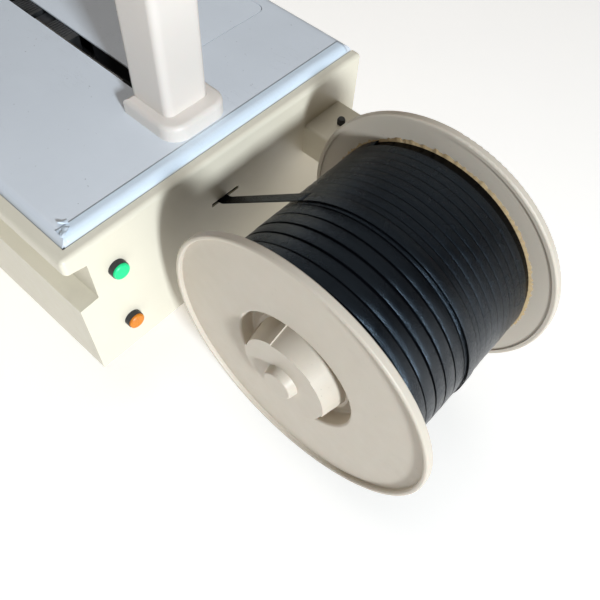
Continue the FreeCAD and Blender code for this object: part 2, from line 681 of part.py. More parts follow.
def arch_beam():
    """The hollow top of the arch, open underneath into both posts and over the strap's track."""
    body = new_body("arch_beam")
    left = mirrored("post_outer", -1)
    pad(body, "Y", [rectangle(left, "post_outer", "beam_under", "beam_top")], "post_front", "post_rear")
    top = dim("beam_top")
    fillet(body, "beam_round", "Y", lambda spot: spot.z > top - 1)
    base = body.Tip
    faces = (dim("post_front"), dim("post_rear"))
    floor = dim("beam_under")
    rims = [
        f"Edge{number}" for number, edge in enumerate(base.Shape.Edges, 1)
        if edge.BoundBox.YLength < 0.01 and min(abs(edge.CenterOfMass.y - face) for face in faces) < 0.01
        and edge.CenterOfMass.z > floor + 1
    ]
    item = body.newObject("PartDesign::Fillet", "round")
    item.Base = (base, rims)
    bound(item, "Radius", "post_round")
    doc.recompute()
    low, high = "beam_under + moulding", "beam_top - moulding"
    near, far = f"{left} + moulding", "post_outer - moulding"
    cavity = [
        (near, low), (far, low), (far, f"{high} - beam_cut"), (f"{far} - beam_cut", high),
        (f"{near} + beam_cut", high), (near, f"{high} - beam_cut"),
    ]
    pocket(body, "Y", [cavity], "post_front + moulding", "post_rear - moulding")
    inner = f"{mirrored('post_inner', -1)} + beam_mouth"
    mouths = [rectangle(inner, "post_inner - beam_mouth", "track_front", "track_rear")]
    for side in SIDES.values():
        mouth = span("post_inner + moulding", "post_outer - moulding", side)
        mouths.append(rectangle(*mouth, "post_front + moulding", "post_rear - moulding"))
    pocket(body, "Z", mouths, "beam_under", low)


def channel_section(outer_x, inner_x, outer_y, inner_y, outer_z, inner_z):
    return carve(block(outer_x, outer_y, outer_z), [block(inner_x, inner_y, inner_z)])


def arch_tracks():
    """Three aluminium channels behind the flaps, and the wire pins that the flaps turn on."""
    pieces = []
    outer_y = ("track_front - track_wall", "track_rear + track_wall")
    inner_y = ("track_front", "track_rear")
    height = ("plate_top + track_wall", "beam_under - moulding")
    for side in SIDES.values():
        outer = span("post_inner + moulding", "post_inner + moulding + track_depth", side)
        inner = span("post_inner + moulding - 1", "post_inner + moulding + track_depth - track_wall", side)
        tall = ("plate_top", "beam_under")
        pieces.append(channel_section(outer, inner, outer_y, inner_y, height, tall))
        place = mirrored("post_inner + flap_axis", side)
        pieces.append(rod("Z", (place, "flap_axis_depth"), "wire", "plate_top", "beam_under"))
    reach = ("arch_middle - flap_reach", "arch_middle + flap_reach")
    base = "beam_under + moulding"
    pieces.append(channel_section(
        reach, (f"{reach[0]} - 1", f"{reach[1]} + 1"), outer_y, inner_y,
        (base, f"{base} + track_depth"), (f"{base} - 1", f"{base} + track_depth - track_wall")))
    inner = f"{mirrored('post_inner', -1)} + beam_mouth"
    pieces.append(rod("X", ("flap_axis_depth", "beam_under + flap_axis"), "wire",
                      inner, "post_inner - beam_mouth"))
    node("arch_tracks", join(pieces))


def arch_flap(label, side):
    """A hinged flap that closes a post's track: a leaf and a barrel round the wire pin."""
    place = mirrored("post_inner + flap_axis", side)
    leaf = span("post_inner + flap_axis - barrel", "post_inner + flap_axis - flap_slack", side)
    height = ("flap_low", "flap_high")
    solid = join([
        block(leaf, ("flap_front", "flap_axis_depth"), height),
        rod("Z", (place, "flap_axis_depth"), "barrel", *height),
    ])
    bore = rod("Z", (place, "flap_axis_depth"), "wire + running", "flap_low - 1", "flap_high + 1")
    node(label, carve(solid, [bore]))


def top_flap():
    """The flap under the beam, hinged like those of the posts."""
    across = ("flap_axis_depth", "beam_under + flap_axis")
    reach = ("arch_middle - flap_reach + flap_short", "arch_middle + flap_reach - flap_short")
    solid = join([
        block(reach, ("flap_front", "flap_axis_depth"),
              ("beam_under + flap_axis - barrel", "beam_under + flap_axis - flap_slack")),
        rod("X", across, "barrel", *reach),
    ])
    bore = rod("X", across, "wire + running", f"{reach[0]} - 1", f"{reach[1]} + 1")
    node("arch_flap_top", carve(solid, [bore]))


# ---------------------------------------------------------------- sealing head and drive

RAMS = {
    "right_gripper": ("right_ram", "right_ram_end", "ram_top"),
    "press_ram": ("middle_ram", "middle_ram_end", "press_top"),
    "left_gripper": ("left_ram", "left_ram_end", "ram_top"),
}
CAM_AXIS = ("cam_axis", "cam_height")


def head_frame():
    """The head's box frame, bored for the cam shaft."""
    outer = block(("head_left", "head_right"), ("-head_half", "head_half"), ("head_bottom", "head_top"))
    hollow = block(("head_left + head_wall", "head_right - head_wall"),
                   ("-head_half + head_side", "head_half - head_side"), ("head_bottom - 1", "head_top + 1"))
    bore = rod("X", CAM_AXIS, "cam_shaft_radius + running", "head_left - 1", "head_right + 1")
    feet = [
        block(("head_left", "head_right"), depth, ("body_bottom + gauge", "head_bottom"))
        for depth in (("-head_half", "-head_half + head_side"), ("head_half - head_side", "head_half"))
    ]
    node("head_frame", join([carve(outer, [hollow, bore])] + feet))


def ram_guide():
    """The block that guides the two grippers and the press ram."""
    solid = block(("head_left + head_wall", "head_right - head_wall"), ("guide_front", "guide_rear"),
                  ("guide_bottom", "guide_top"))
    ways = [
        block((f"{low} - guide_gap", f"{high} + guide_gap"),
              ("ram_front - guide_gap", "ram_rear + guide_gap"), ("guide_bottom - 1", "guide_top + 1"))
        for low, high, top in RAMS.values()
    ]
    return carve(solid, ways)


def ram_teeth(low, top):
    """The serrations across a gripper's upper face, as cuts."""
    cuts = []
    for step in range(8):
        start = f"{low} + tooth_first + {step} * tooth_pitch"
        cuts.append(block((start, f"{start} + tooth_width"), ("ram_front - 1", "ram_rear + 1"),
                          (f"{top} - tooth_depth", f"{top} + 1")))
    return cuts


def rams():
    """Each ram stands just clear of its cam and rises through the guide block."""
    for label, (low, high, top) in RAMS.items():
        shank = block((low, high), ("ram_front", "ram_rear"), ("ram_base", top))
        node(label, shank if label == "press_ram" else carve(shank, ram_teeth(low, top)))


def slide_plate():
    """The anvil plate that the strap is sealed against."""
    node("slide_plate", block(("slide_left", "slide_right"), ("ram_front", "slide_rear"),
                              ("slide_bottom", "slide_top")))


def heater_blade():
    """The heating blade on its insulated holder."""
    blade = block(("blade_left", "blade_right"), ("blade_tip", "blade_rear"), ("blade_bottom", "blade_top"))
    holder = block(("middle_ram", "middle_ram_end"), ("holder_front", "blade_rear"),
                   ("holder_bottom", "holder_top"))
    node("heater_blade", join([blade, holder]))


def blade_guide():
    """The bracket that carries the slide plate and the heating blade behind the rams."""
    solid = block(("bracket_left", "bracket_right"), ("head_half - bracket_thick", "head_half"),
                  ("head_top", "bracket_top"))
    through = ("head_half - bracket_thick - 1", "head_half + 1")
    ways = [
        block(("slide_left - bracket_gap", "slide_right + bracket_gap"), through,
              ("slide_bottom - bracket_gap", "slide_top + bracket_gap")),
        block(("blade_left - bracket_gap", "blade_right + bracket_gap"), through,
              ("blade_bottom - bracket_gap", "blade_top + bracket_gap")),
    ]
    return carve(solid, ways)


def cam_shaft():
    """The cam shaft: one eccentric under each ram, each a third of a turn from the next."""
    pieces = [rod("X", CAM_AXIS, "cam_shaft_radius", "shaft_left", "head_right + shaft_spare")]
    for step, (low, high, top) in enumerate(RAMS.values()):
        place = (f"cam_axis + cam_throw * cos({120 * step})", f"cam_height + cam_throw * sin({120 * step})")
        middle = f"(({low}) + ({high})) / 2"
        pieces.append(rod("X", place, "cam_radius", f"{middle} - cam_half", f"{middle} + cam_half"))
    node("cam_shaft", join(pieces))


def gearbox():
    """The worm gearbox between the motor and the cam shaft."""
    body = new_body("gearbox")
    low = "cam_height - gear_half"
    pad(body, "X", [rectangle("cam_axis - gear_half", "cam_axis + gear_half", low, "cam_height + gear_half")],
        "gear_left", "gear_right")
    fillet(body, "gear_round", "X", lambda spot: True)
    pocket(body, "X", [(*CAM_AXIS, "cam_shaft_radius + running")], "gear_right - gear_bore", "gear_right")
    foot = rectangle("gear_left + gear_foot_inset", "gear_right - gear_foot_inset",
                     "cam_axis - gear_foot_half", "cam_axis + gear_foot_half")
    pad(body, "Z", [foot], "body_bottom + gauge", low)


def drive_motor():
    """The motor: a finned barrel with an end bell, a flange and a terminal box."""
    rear = "cam_axis + motor_radius"
    pieces = [
        rod("X", CAM_AXIS, "motor_radius - fin_depth", "motor_left + motor_gap", "gear_left"),
        rod("X", CAM_AXIS, "motor_radius", "gear_left - motor_flange", "gear_left"),
        rod("X", CAM_AXIS, "motor_radius", "motor_left", "motor_left + motor_bell"),
        block(("terminal_left", "terminal_right"), (f"{rear} - terminal_sink", f"{rear} + terminal_proud"),
              ("terminal_low", "terminal_high")),
    ]
    for step in range(12):
        start = f"fin_first + {step} * fin_pitch"
        pieces.append(rod("X", CAM_AXIS, "motor_radius - 1", start, f"{start} + fin_width"))
    node("drive_motor", join(pieces))


def control_box():
    """The electrical box with a row of cable glands."""
    pieces = [block(("box_left", "box_right"), ("box_front", "box_rear"), ("body_bottom + gauge", "box_top"))]
    for step in range(4):
        place = (f"gland_first + {step} * gland_pitch", "gland_height")
        pieces.append(rod("X", place, "gland_radius", "box_right", "box_right + gland_length"))
    node("control_box", join(pieces))


def power_inlet():
    """A flush appliance inlet in the rear sheet: a shrouded socket with three blades."""
    shell = carve(
        block(("inlet_left", "inlet_right"), ("half_depth - inlet_depth", "half_depth"),
              ("inlet_low", "inlet_high")),
        [block(("inlet_left + inlet_wall", "inlet_right - inlet_wall"),
               ("half_depth - inlet_socket", "half_depth + 1"),
               ("inlet_low + inlet_wall", "inlet_high - inlet_wall"))],
    )
    middle = "(inlet_left + inlet_right) / 2"
    depth = ("half_depth - inlet_socket", "half_depth - blade_reach")
    blades = []
    for across, low in (("-pin_side", "pin_low"), ("pin_side", "pin_low"), ("0", "pin_high")):
        place = f"{middle} + {across}"
        start = f"inlet_low + {low}"
        blades.append(block((f"{place} - pin_half", f"{place} + pin_half"), depth,
                            (start, f"{start} + pin_width")))
    node("power_inlet", join([shell] + blades))


# ---------------------------------------------------------------- strap feed

FEED_HEIGHT = "strap_height - nip - feed_radius"
PINCH_HEIGHT = "strap_height + nip + pinch_radius"


def roller_bracket():
    """The upright plate on a foot that carries both rollers' spindles."""
    across = ("roll_place - plate_half_width", "roll_place + plate_half_width")
    floor = "body_bottom + gauge"
    plate = block(across, ("plate_near", "plate_far"), (floor, "plate_high"))
    base = block(across, ("plate_far", "plate_foot"), (floor, f"{floor} + plate_foot_gauge"))
    bores = [
        rod("Y", ("roll_place", height), f"{spindle} + running", "plate_near - 1", "plate_far + 1")
        for height, spindle in ((FEED_HEIGHT, "feed_spindle"), (PINCH_HEIGHT, "pinch_spindle"))
    ]
    node("roller_bracket", carve(join([plate, base]), bores))


def roller(label, height, radius, spindle):
    """A roller with a ring groove in its face, on its spindle through the bracket."""
    place = ("roll_place", height)
    wheel = rod("Y", place, radius, "roll_front", "roll_rear")
    groove = carve(rod("Y", place, f"{radius} * 0.8", "roll_front - 1", "roll_front + ring_groove"),
                   [rod("Y", place, f"{radius} * 0.55", "roll_front - 2", "roll_front + ring_groove + 1")])
    spin = rod("Y", place, spindle, "spindle_front", "spindle_rear")
    node(label, join([carve(wheel, [groove]), spin]))


def strap_inlet_guide():
    """The box guide that leads the strap from the slit to the rollers."""
    outer = block(
        ("tunnel_left", "machine_right - gauge"),
        ("slit_front - tunnel_gap - tunnel_side", "slit_rear + tunnel_gap + tunnel_side"),
        ("strap_height - tunnel_half", "strap_height + tunnel_half"))
    inner = block(
        ("tunnel_left - 1", "machine_right"),
        ("slit_front - tunnel_gap", "slit_rear + tunnel_gap"),
        ("strap_height - tunnel_half + tunnel_wall", "strap_height + tunnel_half - tunnel_wall"))
    node("strap_inlet_guide", carve(outer, [inner]))


def strap_pool_box():
    """The open box in which the fed strap lies slack."""
    low = "body_bottom + gauge"
    outer = block(("pool_left", "pool_right"), ("pool_front", "pool_rear"), (low, "pool_top"))
    inner = block(("pool_left + gauge", "pool_right - gauge"), ("pool_front + gauge", "pool_rear - gauge"),
                  (f"{low} + gauge", "pool_top + 1"))
    node("strap_pool_box", carve(outer, [inner]))


def strap_lead():
    """The strap from the coil's top turn down to the slit and on to the rollers, straight and taut."""
    body = new_body("strap_lead")
    touch = "(coil_radius + touch_gap)"
    low = "(strap_height - strap_gauge / 2)"
    high = "(strap_height + strap_gauge / 2)"
    run = "(reel_place - bend_place)"
    rise = f"({low} - reel_height)"
    climb = f"(asin({touch} / sqrt({run} ^ 2 + {rise} ^ 2)) - atan({rise} / {run}))"

    def tangent(radius):
        return (f"reel_place - {radius} * sin({climb})", f"reel_height + {radius} * cos({climb})")

    outline = [
        ("lead_end", low), ("bend_place", low), tangent(touch), tangent(f"({touch} + strap_gauge)"),
        (f"bend_place - strap_gauge * tan({climb} / 2)", high), ("lead_end", high),
    ]
    pad(body, "Y", [outline], "strap_middle - strap_width / 2", "strap_middle + strap_width / 2")
    bend = dim("bend_place")
    fillet(body, "bend_round", "Y", lambda spot: abs(spot.x - bend) < 2)


# ---------------------------------------------------------------- push buttons

def button_body(height):
    """A bezel on a threaded stem, with its nut behind the panel and a recess for the cap."""
    place = ("button_place", height)
    solid = join([
        rod("X", place, "bezel_radius", "machine_right", "machine_right + bezel_proud"),
        rod("X", place, "stem_radius", "machine_right - stem_length", "machine_right"),
        rod("X", place, "bezel_radius + stem_nut",
            "machine_right - gauge - stem_nut_gauge", "machine_right - gauge"),
    ])
    return carve(solid, [
        rod("X", place, "cap_radius + cap_gap", "machine_right + bezel_floor",
            "machine_right + bezel_proud + 1"),
    ])


def button_cap(label, height):
    """A cap with a bevelled front."""
    place = ("button_place", height)
    front = "machine_right + button_proud"
    node(label, join([
        rod("X", place, "cap_radius", "machine_right + cap_base", f"{front} - cap_bevel"),
        cone("X", place, "cap_radius", "cap_radius - cap_bevel", f"{front} - cap_bevel", front),
    ]))


# ---------------------------------------------------------------- front controls

ROCKER_TIP = 8      # degrees that the mains rocker stands tipped at rest


def dial_places():
    return {"tension_dial": "control_left + tension_place", "heat_dial": "control_left + heat_place"}


def control_housing():
    """The shallow box in the groove that holds the switch and the dials."""
    front = "groove_floor - control_proud"
    solid = block(("control_left", "control_right"), (front, "groove_floor"), ("control_low", "control_high"))
    depth = (f"{front} - 1", "groove_floor - 1")
    holes = [block(("control_left + switch_left", "control_left + switch_right"), depth,
                   ("dial_height - switch_half", "dial_height + switch_half"))]
    for place in dial_places().values():
        holes.append(rod("Y", (place, "dial_height"), "dial_stem + running", *depth))
    node("control_housing", carve(solid, holes))


def dials():
    """Round dials with a pointer groove and a ring of grip notches."""
    front, back = "groove_floor - dial_front", "groove_floor - dial_back"
    for label, place in dial_places().items():
        across = (place, "dial_height")
        solid = join([
            cone("Y", across, "dial_radius - dial_taper", "dial_radius", front, back),
            rod("Y", across, "dial_stem", back, "groove_floor - dial_stem_end"),
        ])
        cuts = []
        for step in range(12):
            spot = (f"{place} + (dial_radius + 1) * cos({30 * step})",
                    f"dial_height + (dial_radius + 1) * sin({30 * step})")
            cuts.append(rod("Y", spot, "grip_notch", f"{front} - 1", f"{back} - 1"))
        cuts.append(block((f"{place} - pointer_half", f"{place} + pointer_half"),
                          (f"{front} - 1", f"{front} + pointer_half"),
                          ("dial_height + dial_stem", "dial_height + dial_radius")))
        node(label, carve(solid, cuts))


def mains_rocker():
    """The rocker of the mains switch, resting tipped to its off side."""
    body = new_body("mains_rocker")
    base, crown, waist = "rocker_base", "-rocker_crown", "-rocker_waist"
    outline = [
        (base, "-rocker_half"), (base, "rocker_half"), (crown, "rocker_tip"),
        (waist, "0"), (crown, "-rocker_tip"),
    ]
    pad(body, "X", [outline],
        "control_left + switch_left + rocker_gap", "control_left + switch_right - rocker_gap")
    body.Placement = Placement(Vector(), Rotation(AXES["X"], ROCKER_TIP))
    bound(body, "Placement.Base.y", "groove_floor - rocker_sink")
    bound(body, "Placement.Base.z", "dial_height")


# ---------------------------------------------------------------- reel

def revolved(label, outline):
    """A sub-part turned about the reel's axis from a (radius, depth) outline."""
    return turn_about_reel(new_body(label), outline)


def turn_about_reel(body, outline):
    item = body.newObject("PartDesign::Revolution", "turned")
    item.Profile = sketch(body, "Z", [outline], "0")
    axis = [part for part in body.Origin.OriginFeatures if part.Role == "Y_Axis"][0]
    item.ReferenceAxis = (axis, [""])
    item.Angle = 360
    bound(body, "Placement.Base.x", "reel_place")
    bound(body, "Placement.Base.z", "reel_height")
    doc.recompute()
    return body


def soften_rings(body, radius, test):
    """Rounds the circular edges of a turned body whose radius and depth pass the test."""
    base = body.Tip
    names = [
        f"Edge{number}" for number, edge in enumerate(base.Shape.Edges, 1)
        if not edge.Degenerated and isinstance(edge.Curve, Part.Circle)
        and test(edge.Curve.Radius, edge.Curve.Center.y)
    ]
    item = body.newObject("PartDesign::Fillet", "round")
    item.Base = (base, names)
    bound(item, "Radius", radius)
    doc.recompute()


def soften_rim(body, radius, face):
    """Rounds the rim's outer edges and the lip round the dish on the face at that depth."""
    soften_rings(body, "rim_round", lambda ring, depth: (
        ring > radius - 1 or (ring > radius - dim("lip_ring") - 1 and abs(depth - face) < 1)))


def front_flange():
    """The removable flange: a raised rim, a flat web and a deep recess round the hub nut."""
    rim_in = "front_flange_radius - lip_ring"
    inside = "front_rim + rim - inner_lip"
    body = revolved("front_flange", [
        ("sleeve_radius", "recess_floor"), ("recess_radius", "recess_floor"),
        ("recess_radius", "front_rim + dish"), (rim_in, "front_rim + dish"),
        (rim_in, "front_rim"), ("front_flange_radius", "front_rim"),
        ("front_flange_radius", "front_rim + rim"), (rim_in, "front_rim + rim"),
        (rim_in, inside), ("recess_radius + recess_wall", inside),
        ("recess_radius + recess_wall", "recess_floor + recess_wall"),
        ("sleeve_radius", "recess_floor + recess_wall"),
    ])
    soften_rim(body, dim("front_flange_radius"), dim("front_rim"))
    recess = dim("recess_radius")
    soften_rings(body, "recess_round", lambda ring, depth: abs(ring - recess) < 0.1)


def rear_flange():
    """The fixed flange: a raised rim and a flat web."""
    rim_in = "rear_flange_radius - lip_ring"
    inside = "rear_back - rim + inner_lip"
    body = revolved("rear_flange", [
        ("sleeve_radius", inside), (rim_in, inside),
        (rim_in, "rear_back - rim"), ("rear_flange_radius", "rear_back - rim"),
        ("rear_flange_radius", "rear_back"), (rim_in, "rear_back"),
        (rim_in, "rear_back - dish"), ("sleeve_radius", "rear_back - dish"),
    ])
    soften_rim(body, dim("rear_flange_radius"), dim("rear_back"))


def winding_span():
    """The depths of the two webs' inner faces."""
    return "front_rim + rim - inner_lip", "rear_back - rim + inner_lip"


def reel_drum():
    """The drum between the webs."""
    revolved("reel_drum", rectangle("drum_radius - drum_wall", "drum_radius", *winding_span()))


def strap_coil():
    """The wound strap as one solid ring, just clear of the webs."""
    low, high = winding_span()
    revolved("strap_coil", rectangle("drum_radius", "coil_radius", f"{low} + coil_gap", f"{high} - coil_gap"))


def hub_sleeve():
    """The long bush that carries both flanges on the shaft."""
    revolved("hub_sleeve", rectangle("shaft_radius + running", "sleeve_radius",
                                     "sleeve_front", "rear_back + sleeve_spare"))


REEL_AXIS = ("reel_place", "reel_height")


def hub_nut():
    """The hand nut that locks the front flange: a flanged core, a grip of six ramps and a nub."""
    core = doc.addObject("PartDesign::Body", "nut_core")
    turn_about_reel(core, [
        ("0", "nut_bore_end"), ("0", "nub_tip"), ("nub_tip_radius", "nub_tip"), ("nub_radius", "nut_tip"),
        ("nut_core", "nut_tip"), ("nut_core", "nut_base"),
        ("nut_flange_radius", "nut_base"), ("nut_flange_radius", "nut_seat"),
        ("sleeve_radius + running", "nut_seat"), ("sleeve_radius + running", "nut_bore_end"),
    ])
    face = dim("nub_tip")
    soften_rings(core, "nub_round", lambda ring, depth: abs(depth - face) < 0.1)
    middle = rod("Y", REEL_AXIS, "nut_core", "nut_tip - 1", "nut_base + 1")
    node("hub_nut", join([core, carve(join(nut_ramps()), [middle])]))


def nut_ramps():
    """Six sectors of a tapered grip, each turned off centre, so that the rim rises and steps back."""
    ramps = []
    for step in range(6):
        toward = f"(nut_step_angle + {60 * step - 60})"
        spot = (f"reel_place + nut_ramp * cos({toward})", f"reel_height + nut_ramp * sin({toward})")
        grip = cone("Y", spot, "nut_tip_radius", "nut_base_radius", "nut_tip", "nut_base")
        sector = rod("Y", REEL_AXIS, "nut_flange_radius + nut_ramp", "nut_tip", "nut_base")
        sector.Angle = 60
        turn = -(dim("nut_step_angle") + 60 * step + 60)
        sector.Placement = Placement(Vector(), TURNS["Y"].multiply(Rotation(AXES["Z"], turn)))
        ramp = doc.addObject("Part::Common", "ramp")
        ramp.Base = grip
        ramp.Tool = sector
        ramps.append(ramp)
    return ramps


def reel_shaft():
    """The fixed shaft, with a collar between the bracket and the reel."""
    node("reel_shaft", join([
        rod("Y", REEL_AXIS, "shaft_radius", "shaft_front", "shaft_rear"),
        rod("Y", REEL_AXIS, "sleeve_radius - 1", "rear_back + collar_gap", "arm_front"),
    ]))


def shaft_nut():
    """The shaft's washer and hexagon nut behind the arm."""
    seat = "arm_rear + washer_gauge"
    solid = join([
        rod("Y", REEL_AXIS, "washer_radius", "arm_rear", seat),
        hexagon("Y", REEL_AXIS, "shaft_nut_radius", seat, f"{seat} + shaft_nut_height"),
    ])
    bore = rod("Y", REEL_AXIS, "shaft_radius", "arm_rear - 1", f"{seat} + shaft_nut_height + 1")
    node("shaft_nut", carve(solid, [bore]))


def arm_bolt_places():
    """The (depth, height) of the four bolts through the arm's root."""
    depths = ("arm_front + arm_bolt_side", "arm_rear - arm_bolt_side")
    heights = ("arm_low + arm_bolt_rise", "arm_high - arm_bolt_rise")
    return [(y, z) for y in depths for z in heights]


def reel_bracket():
    """The square-tube arm that carries the shaft, with a thick root plate and an open far end."""
    body = new_body("reel_bracket")
    root = "machine_right + arm_root"
    pad(body, "X", [rectangle("arm_front", "arm_rear", "arm_low", "arm_high")], "machine_right", "arm_end")
    fillet(body, "arm_round", "X", lambda spot: True)
    inner = rectangle("arm_front + arm_wall", "arm_rear - arm_wall",
                      "arm_low + arm_wall", "arm_high - arm_wall")
    pocket(body, "X", [inner], root, "arm_end")
    pocket(body, "Y", [(*REEL_AXIS, "shaft_radius")], "arm_front", "arm_rear")
    holes = [(y, z, "arm_bolt + running") for y, z in arm_bolt_places()]
    pocket(body, "X", holes, "machine_right", root)
    pocket(body, "Z", [("knob_place", "knob_depth", "knob_shank + running")],
           "arm_high - arm_wall", "arm_high")


def bracket_bolts():
    """Bolts from inside the end sheet into the arm's root."""
    panel = "machine_right - gauge"
    bolts = []
    for place in arm_bolt_places():
        bolts.append(hexagon("X", place, "arm_bolt_head", f"{panel} - arm_bolt_head_height", panel))
        bolts.append(rod("X", place, "arm_bolt", panel, "machine_right + arm_root"))
    node("bracket_bolts", join(bolts))


def bracket_knob():
    """The small thumb screw on the arm."""
    place = ("knob_place", "knob_depth")
    base, shoulder, tip = "arm_high + knob_gap", "arm_high + knob_side", "arm_high + knob_tip"
    grip = join([
        rod("Z", place, "knob_radius", base, shoulder),
        cone("Z", place, "knob_radius", "knob_tip_radius", shoulder, tip),
    ])
    ring = "(knob_radius + knob_gap)"
    notches = []
    for step in range(8):
        spot = (f"knob_place + {ring} * cos({45 * step})", f"knob_depth + {ring} * sin({45 * step})")
        notches.append(rod("Z", spot, "knob_notch", "arm_high", f"{tip} + 1"))
    shank = rod("Z", place, "knob_shank", "arm_high - knob_side", base)
    node("bracket_knob", join([carve(grip, notches), shank]))


# ---------------------------------------------------------------- assembly

def build():
    right_end_panel()
    left_end_panel()
    front_panel()
    rear_panel()
    panel_screws()
    base_tray()
    base_frame()
    rubber_feet()
    foot_bolts()
    table_plate()
    rear_cover()
    cover_hinge_leaves()
    table_hinge_leaves()
    table_subframe()
    slot_channel()
    slot_rail()
    for name, side in SIDES.items():
        arch_post(f"arch_post_{name}", side)
        arch_flap(f"arch_flap_{name}", side)
    node("arch_feet", join([arch_foot(side) for side in SIDES.values()]))
    arch_beam()
    arch_tracks()
    top_flap()
    head_frame()
    rams()
    slide_plate()
    heater_blade()
    node("head_guides", join([ram_guide(), blade_guide()]))
    cam_shaft()
    gearbox()
    drive_motor()
    control_box()
    power_inlet()
    roller_bracket()
    roller("feed_roller", FEED_HEIGHT, "feed_radius", "feed_spindle")
    roller("pinch_roller", PINCH_HEIGHT, "pinch_radius", "pinch_spindle")
    strap_inlet_guide()
    strap_pool_box()
    strap_lead()
    heights = {"green_button_cap": "green_height", "orange_button_cap": "orange_height"}
    node("button_bodies", join([button_body(height) for height in heights.values()]))
    for label, height in heights.items():
        button_cap(label, height)
    control_housing()
    dials()
    mains_rocker()
    front_flange()
    rear_flange()
    reel_drum()
    strap_coil()
    hub_sleeve()
    hub_nut()
    reel_shaft()
    shaft_nut()
    reel_bracket()
    bracket_bolts()
    bracket_knob()


def check():
    """Stops on any failed object or any sub-part without a valid shape."""
    doc.recompute()
    for item in doc.Objects:
        if "Invalid" in item.State or "Error" in item.State:
            raise RuntimeError(f"{item.Name} ({item.Label}) is {item.State}")
    for label, item in NODES.items():
        if item.Shape.isNull() or not item.Shape.isValid() or not item.Shape.Solids:
            raise RuntimeError(f"{label} has no valid solid")


def write():
    os.makedirs("parts", exist_ok=True)
    for label, item in NODES.items():
        item.Shape.exportStep(os.path.join("parts", f"{label}.step"))


build()
check()
write()
print(len(NODES), "sub-parts written")
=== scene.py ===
"""Looks of the strapping machine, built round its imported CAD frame.  Lengths are in metres."""
import math
import random

import bmesh
import bpy
from mathutils import Matrix, Vector


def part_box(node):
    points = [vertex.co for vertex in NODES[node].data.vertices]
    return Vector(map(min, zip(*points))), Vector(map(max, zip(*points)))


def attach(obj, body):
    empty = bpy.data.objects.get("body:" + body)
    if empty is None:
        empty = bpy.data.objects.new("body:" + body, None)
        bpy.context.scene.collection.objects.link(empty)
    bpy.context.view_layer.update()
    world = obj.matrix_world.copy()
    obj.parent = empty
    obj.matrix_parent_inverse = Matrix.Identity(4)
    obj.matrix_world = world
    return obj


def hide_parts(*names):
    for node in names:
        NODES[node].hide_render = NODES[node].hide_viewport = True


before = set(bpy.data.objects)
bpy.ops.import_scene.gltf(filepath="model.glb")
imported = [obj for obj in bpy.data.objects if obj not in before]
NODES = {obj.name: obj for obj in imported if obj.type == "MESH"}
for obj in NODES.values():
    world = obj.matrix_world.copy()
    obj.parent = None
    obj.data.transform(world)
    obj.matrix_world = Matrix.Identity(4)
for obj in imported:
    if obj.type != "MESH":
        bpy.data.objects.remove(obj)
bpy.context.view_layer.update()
MM = 0.001

# The reel's axis runs along Y through the middle of its shaft.
SHAFT_LOW, SHAFT_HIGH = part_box("reel_shaft")
REEL_X = (SHAFT_LOW.x + SHAFT_HIGH.x) / 2
REEL_Z = (SHAFT_LOW.z + SHAFT_HIGH.z) / 2
COIL_LOW, COIL_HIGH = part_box("strap_coil")
COIL_RADIUS = (COIL_HIGH.x - COIL_LOW.x) / 2
DRUM_LOW, DRUM_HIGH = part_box("reel_drum")
LEAD_LOW, LEAD_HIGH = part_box("strap_lead")
TABLE_LOW, TABLE_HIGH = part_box("table_plate")

STRAP_WIDTH = LEAD_HIGH.y - LEAD_LOW.y
STRAP_GAUGE = 0.8 * MM
STRAP_MIDDLE = (LEAD_HIGH.y + LEAD_LOW.y) / 2
LEAD_RADIUS = COIL_RADIUS + STRAP_GAUGE


# ---------------------------------------------------------------- material helpers

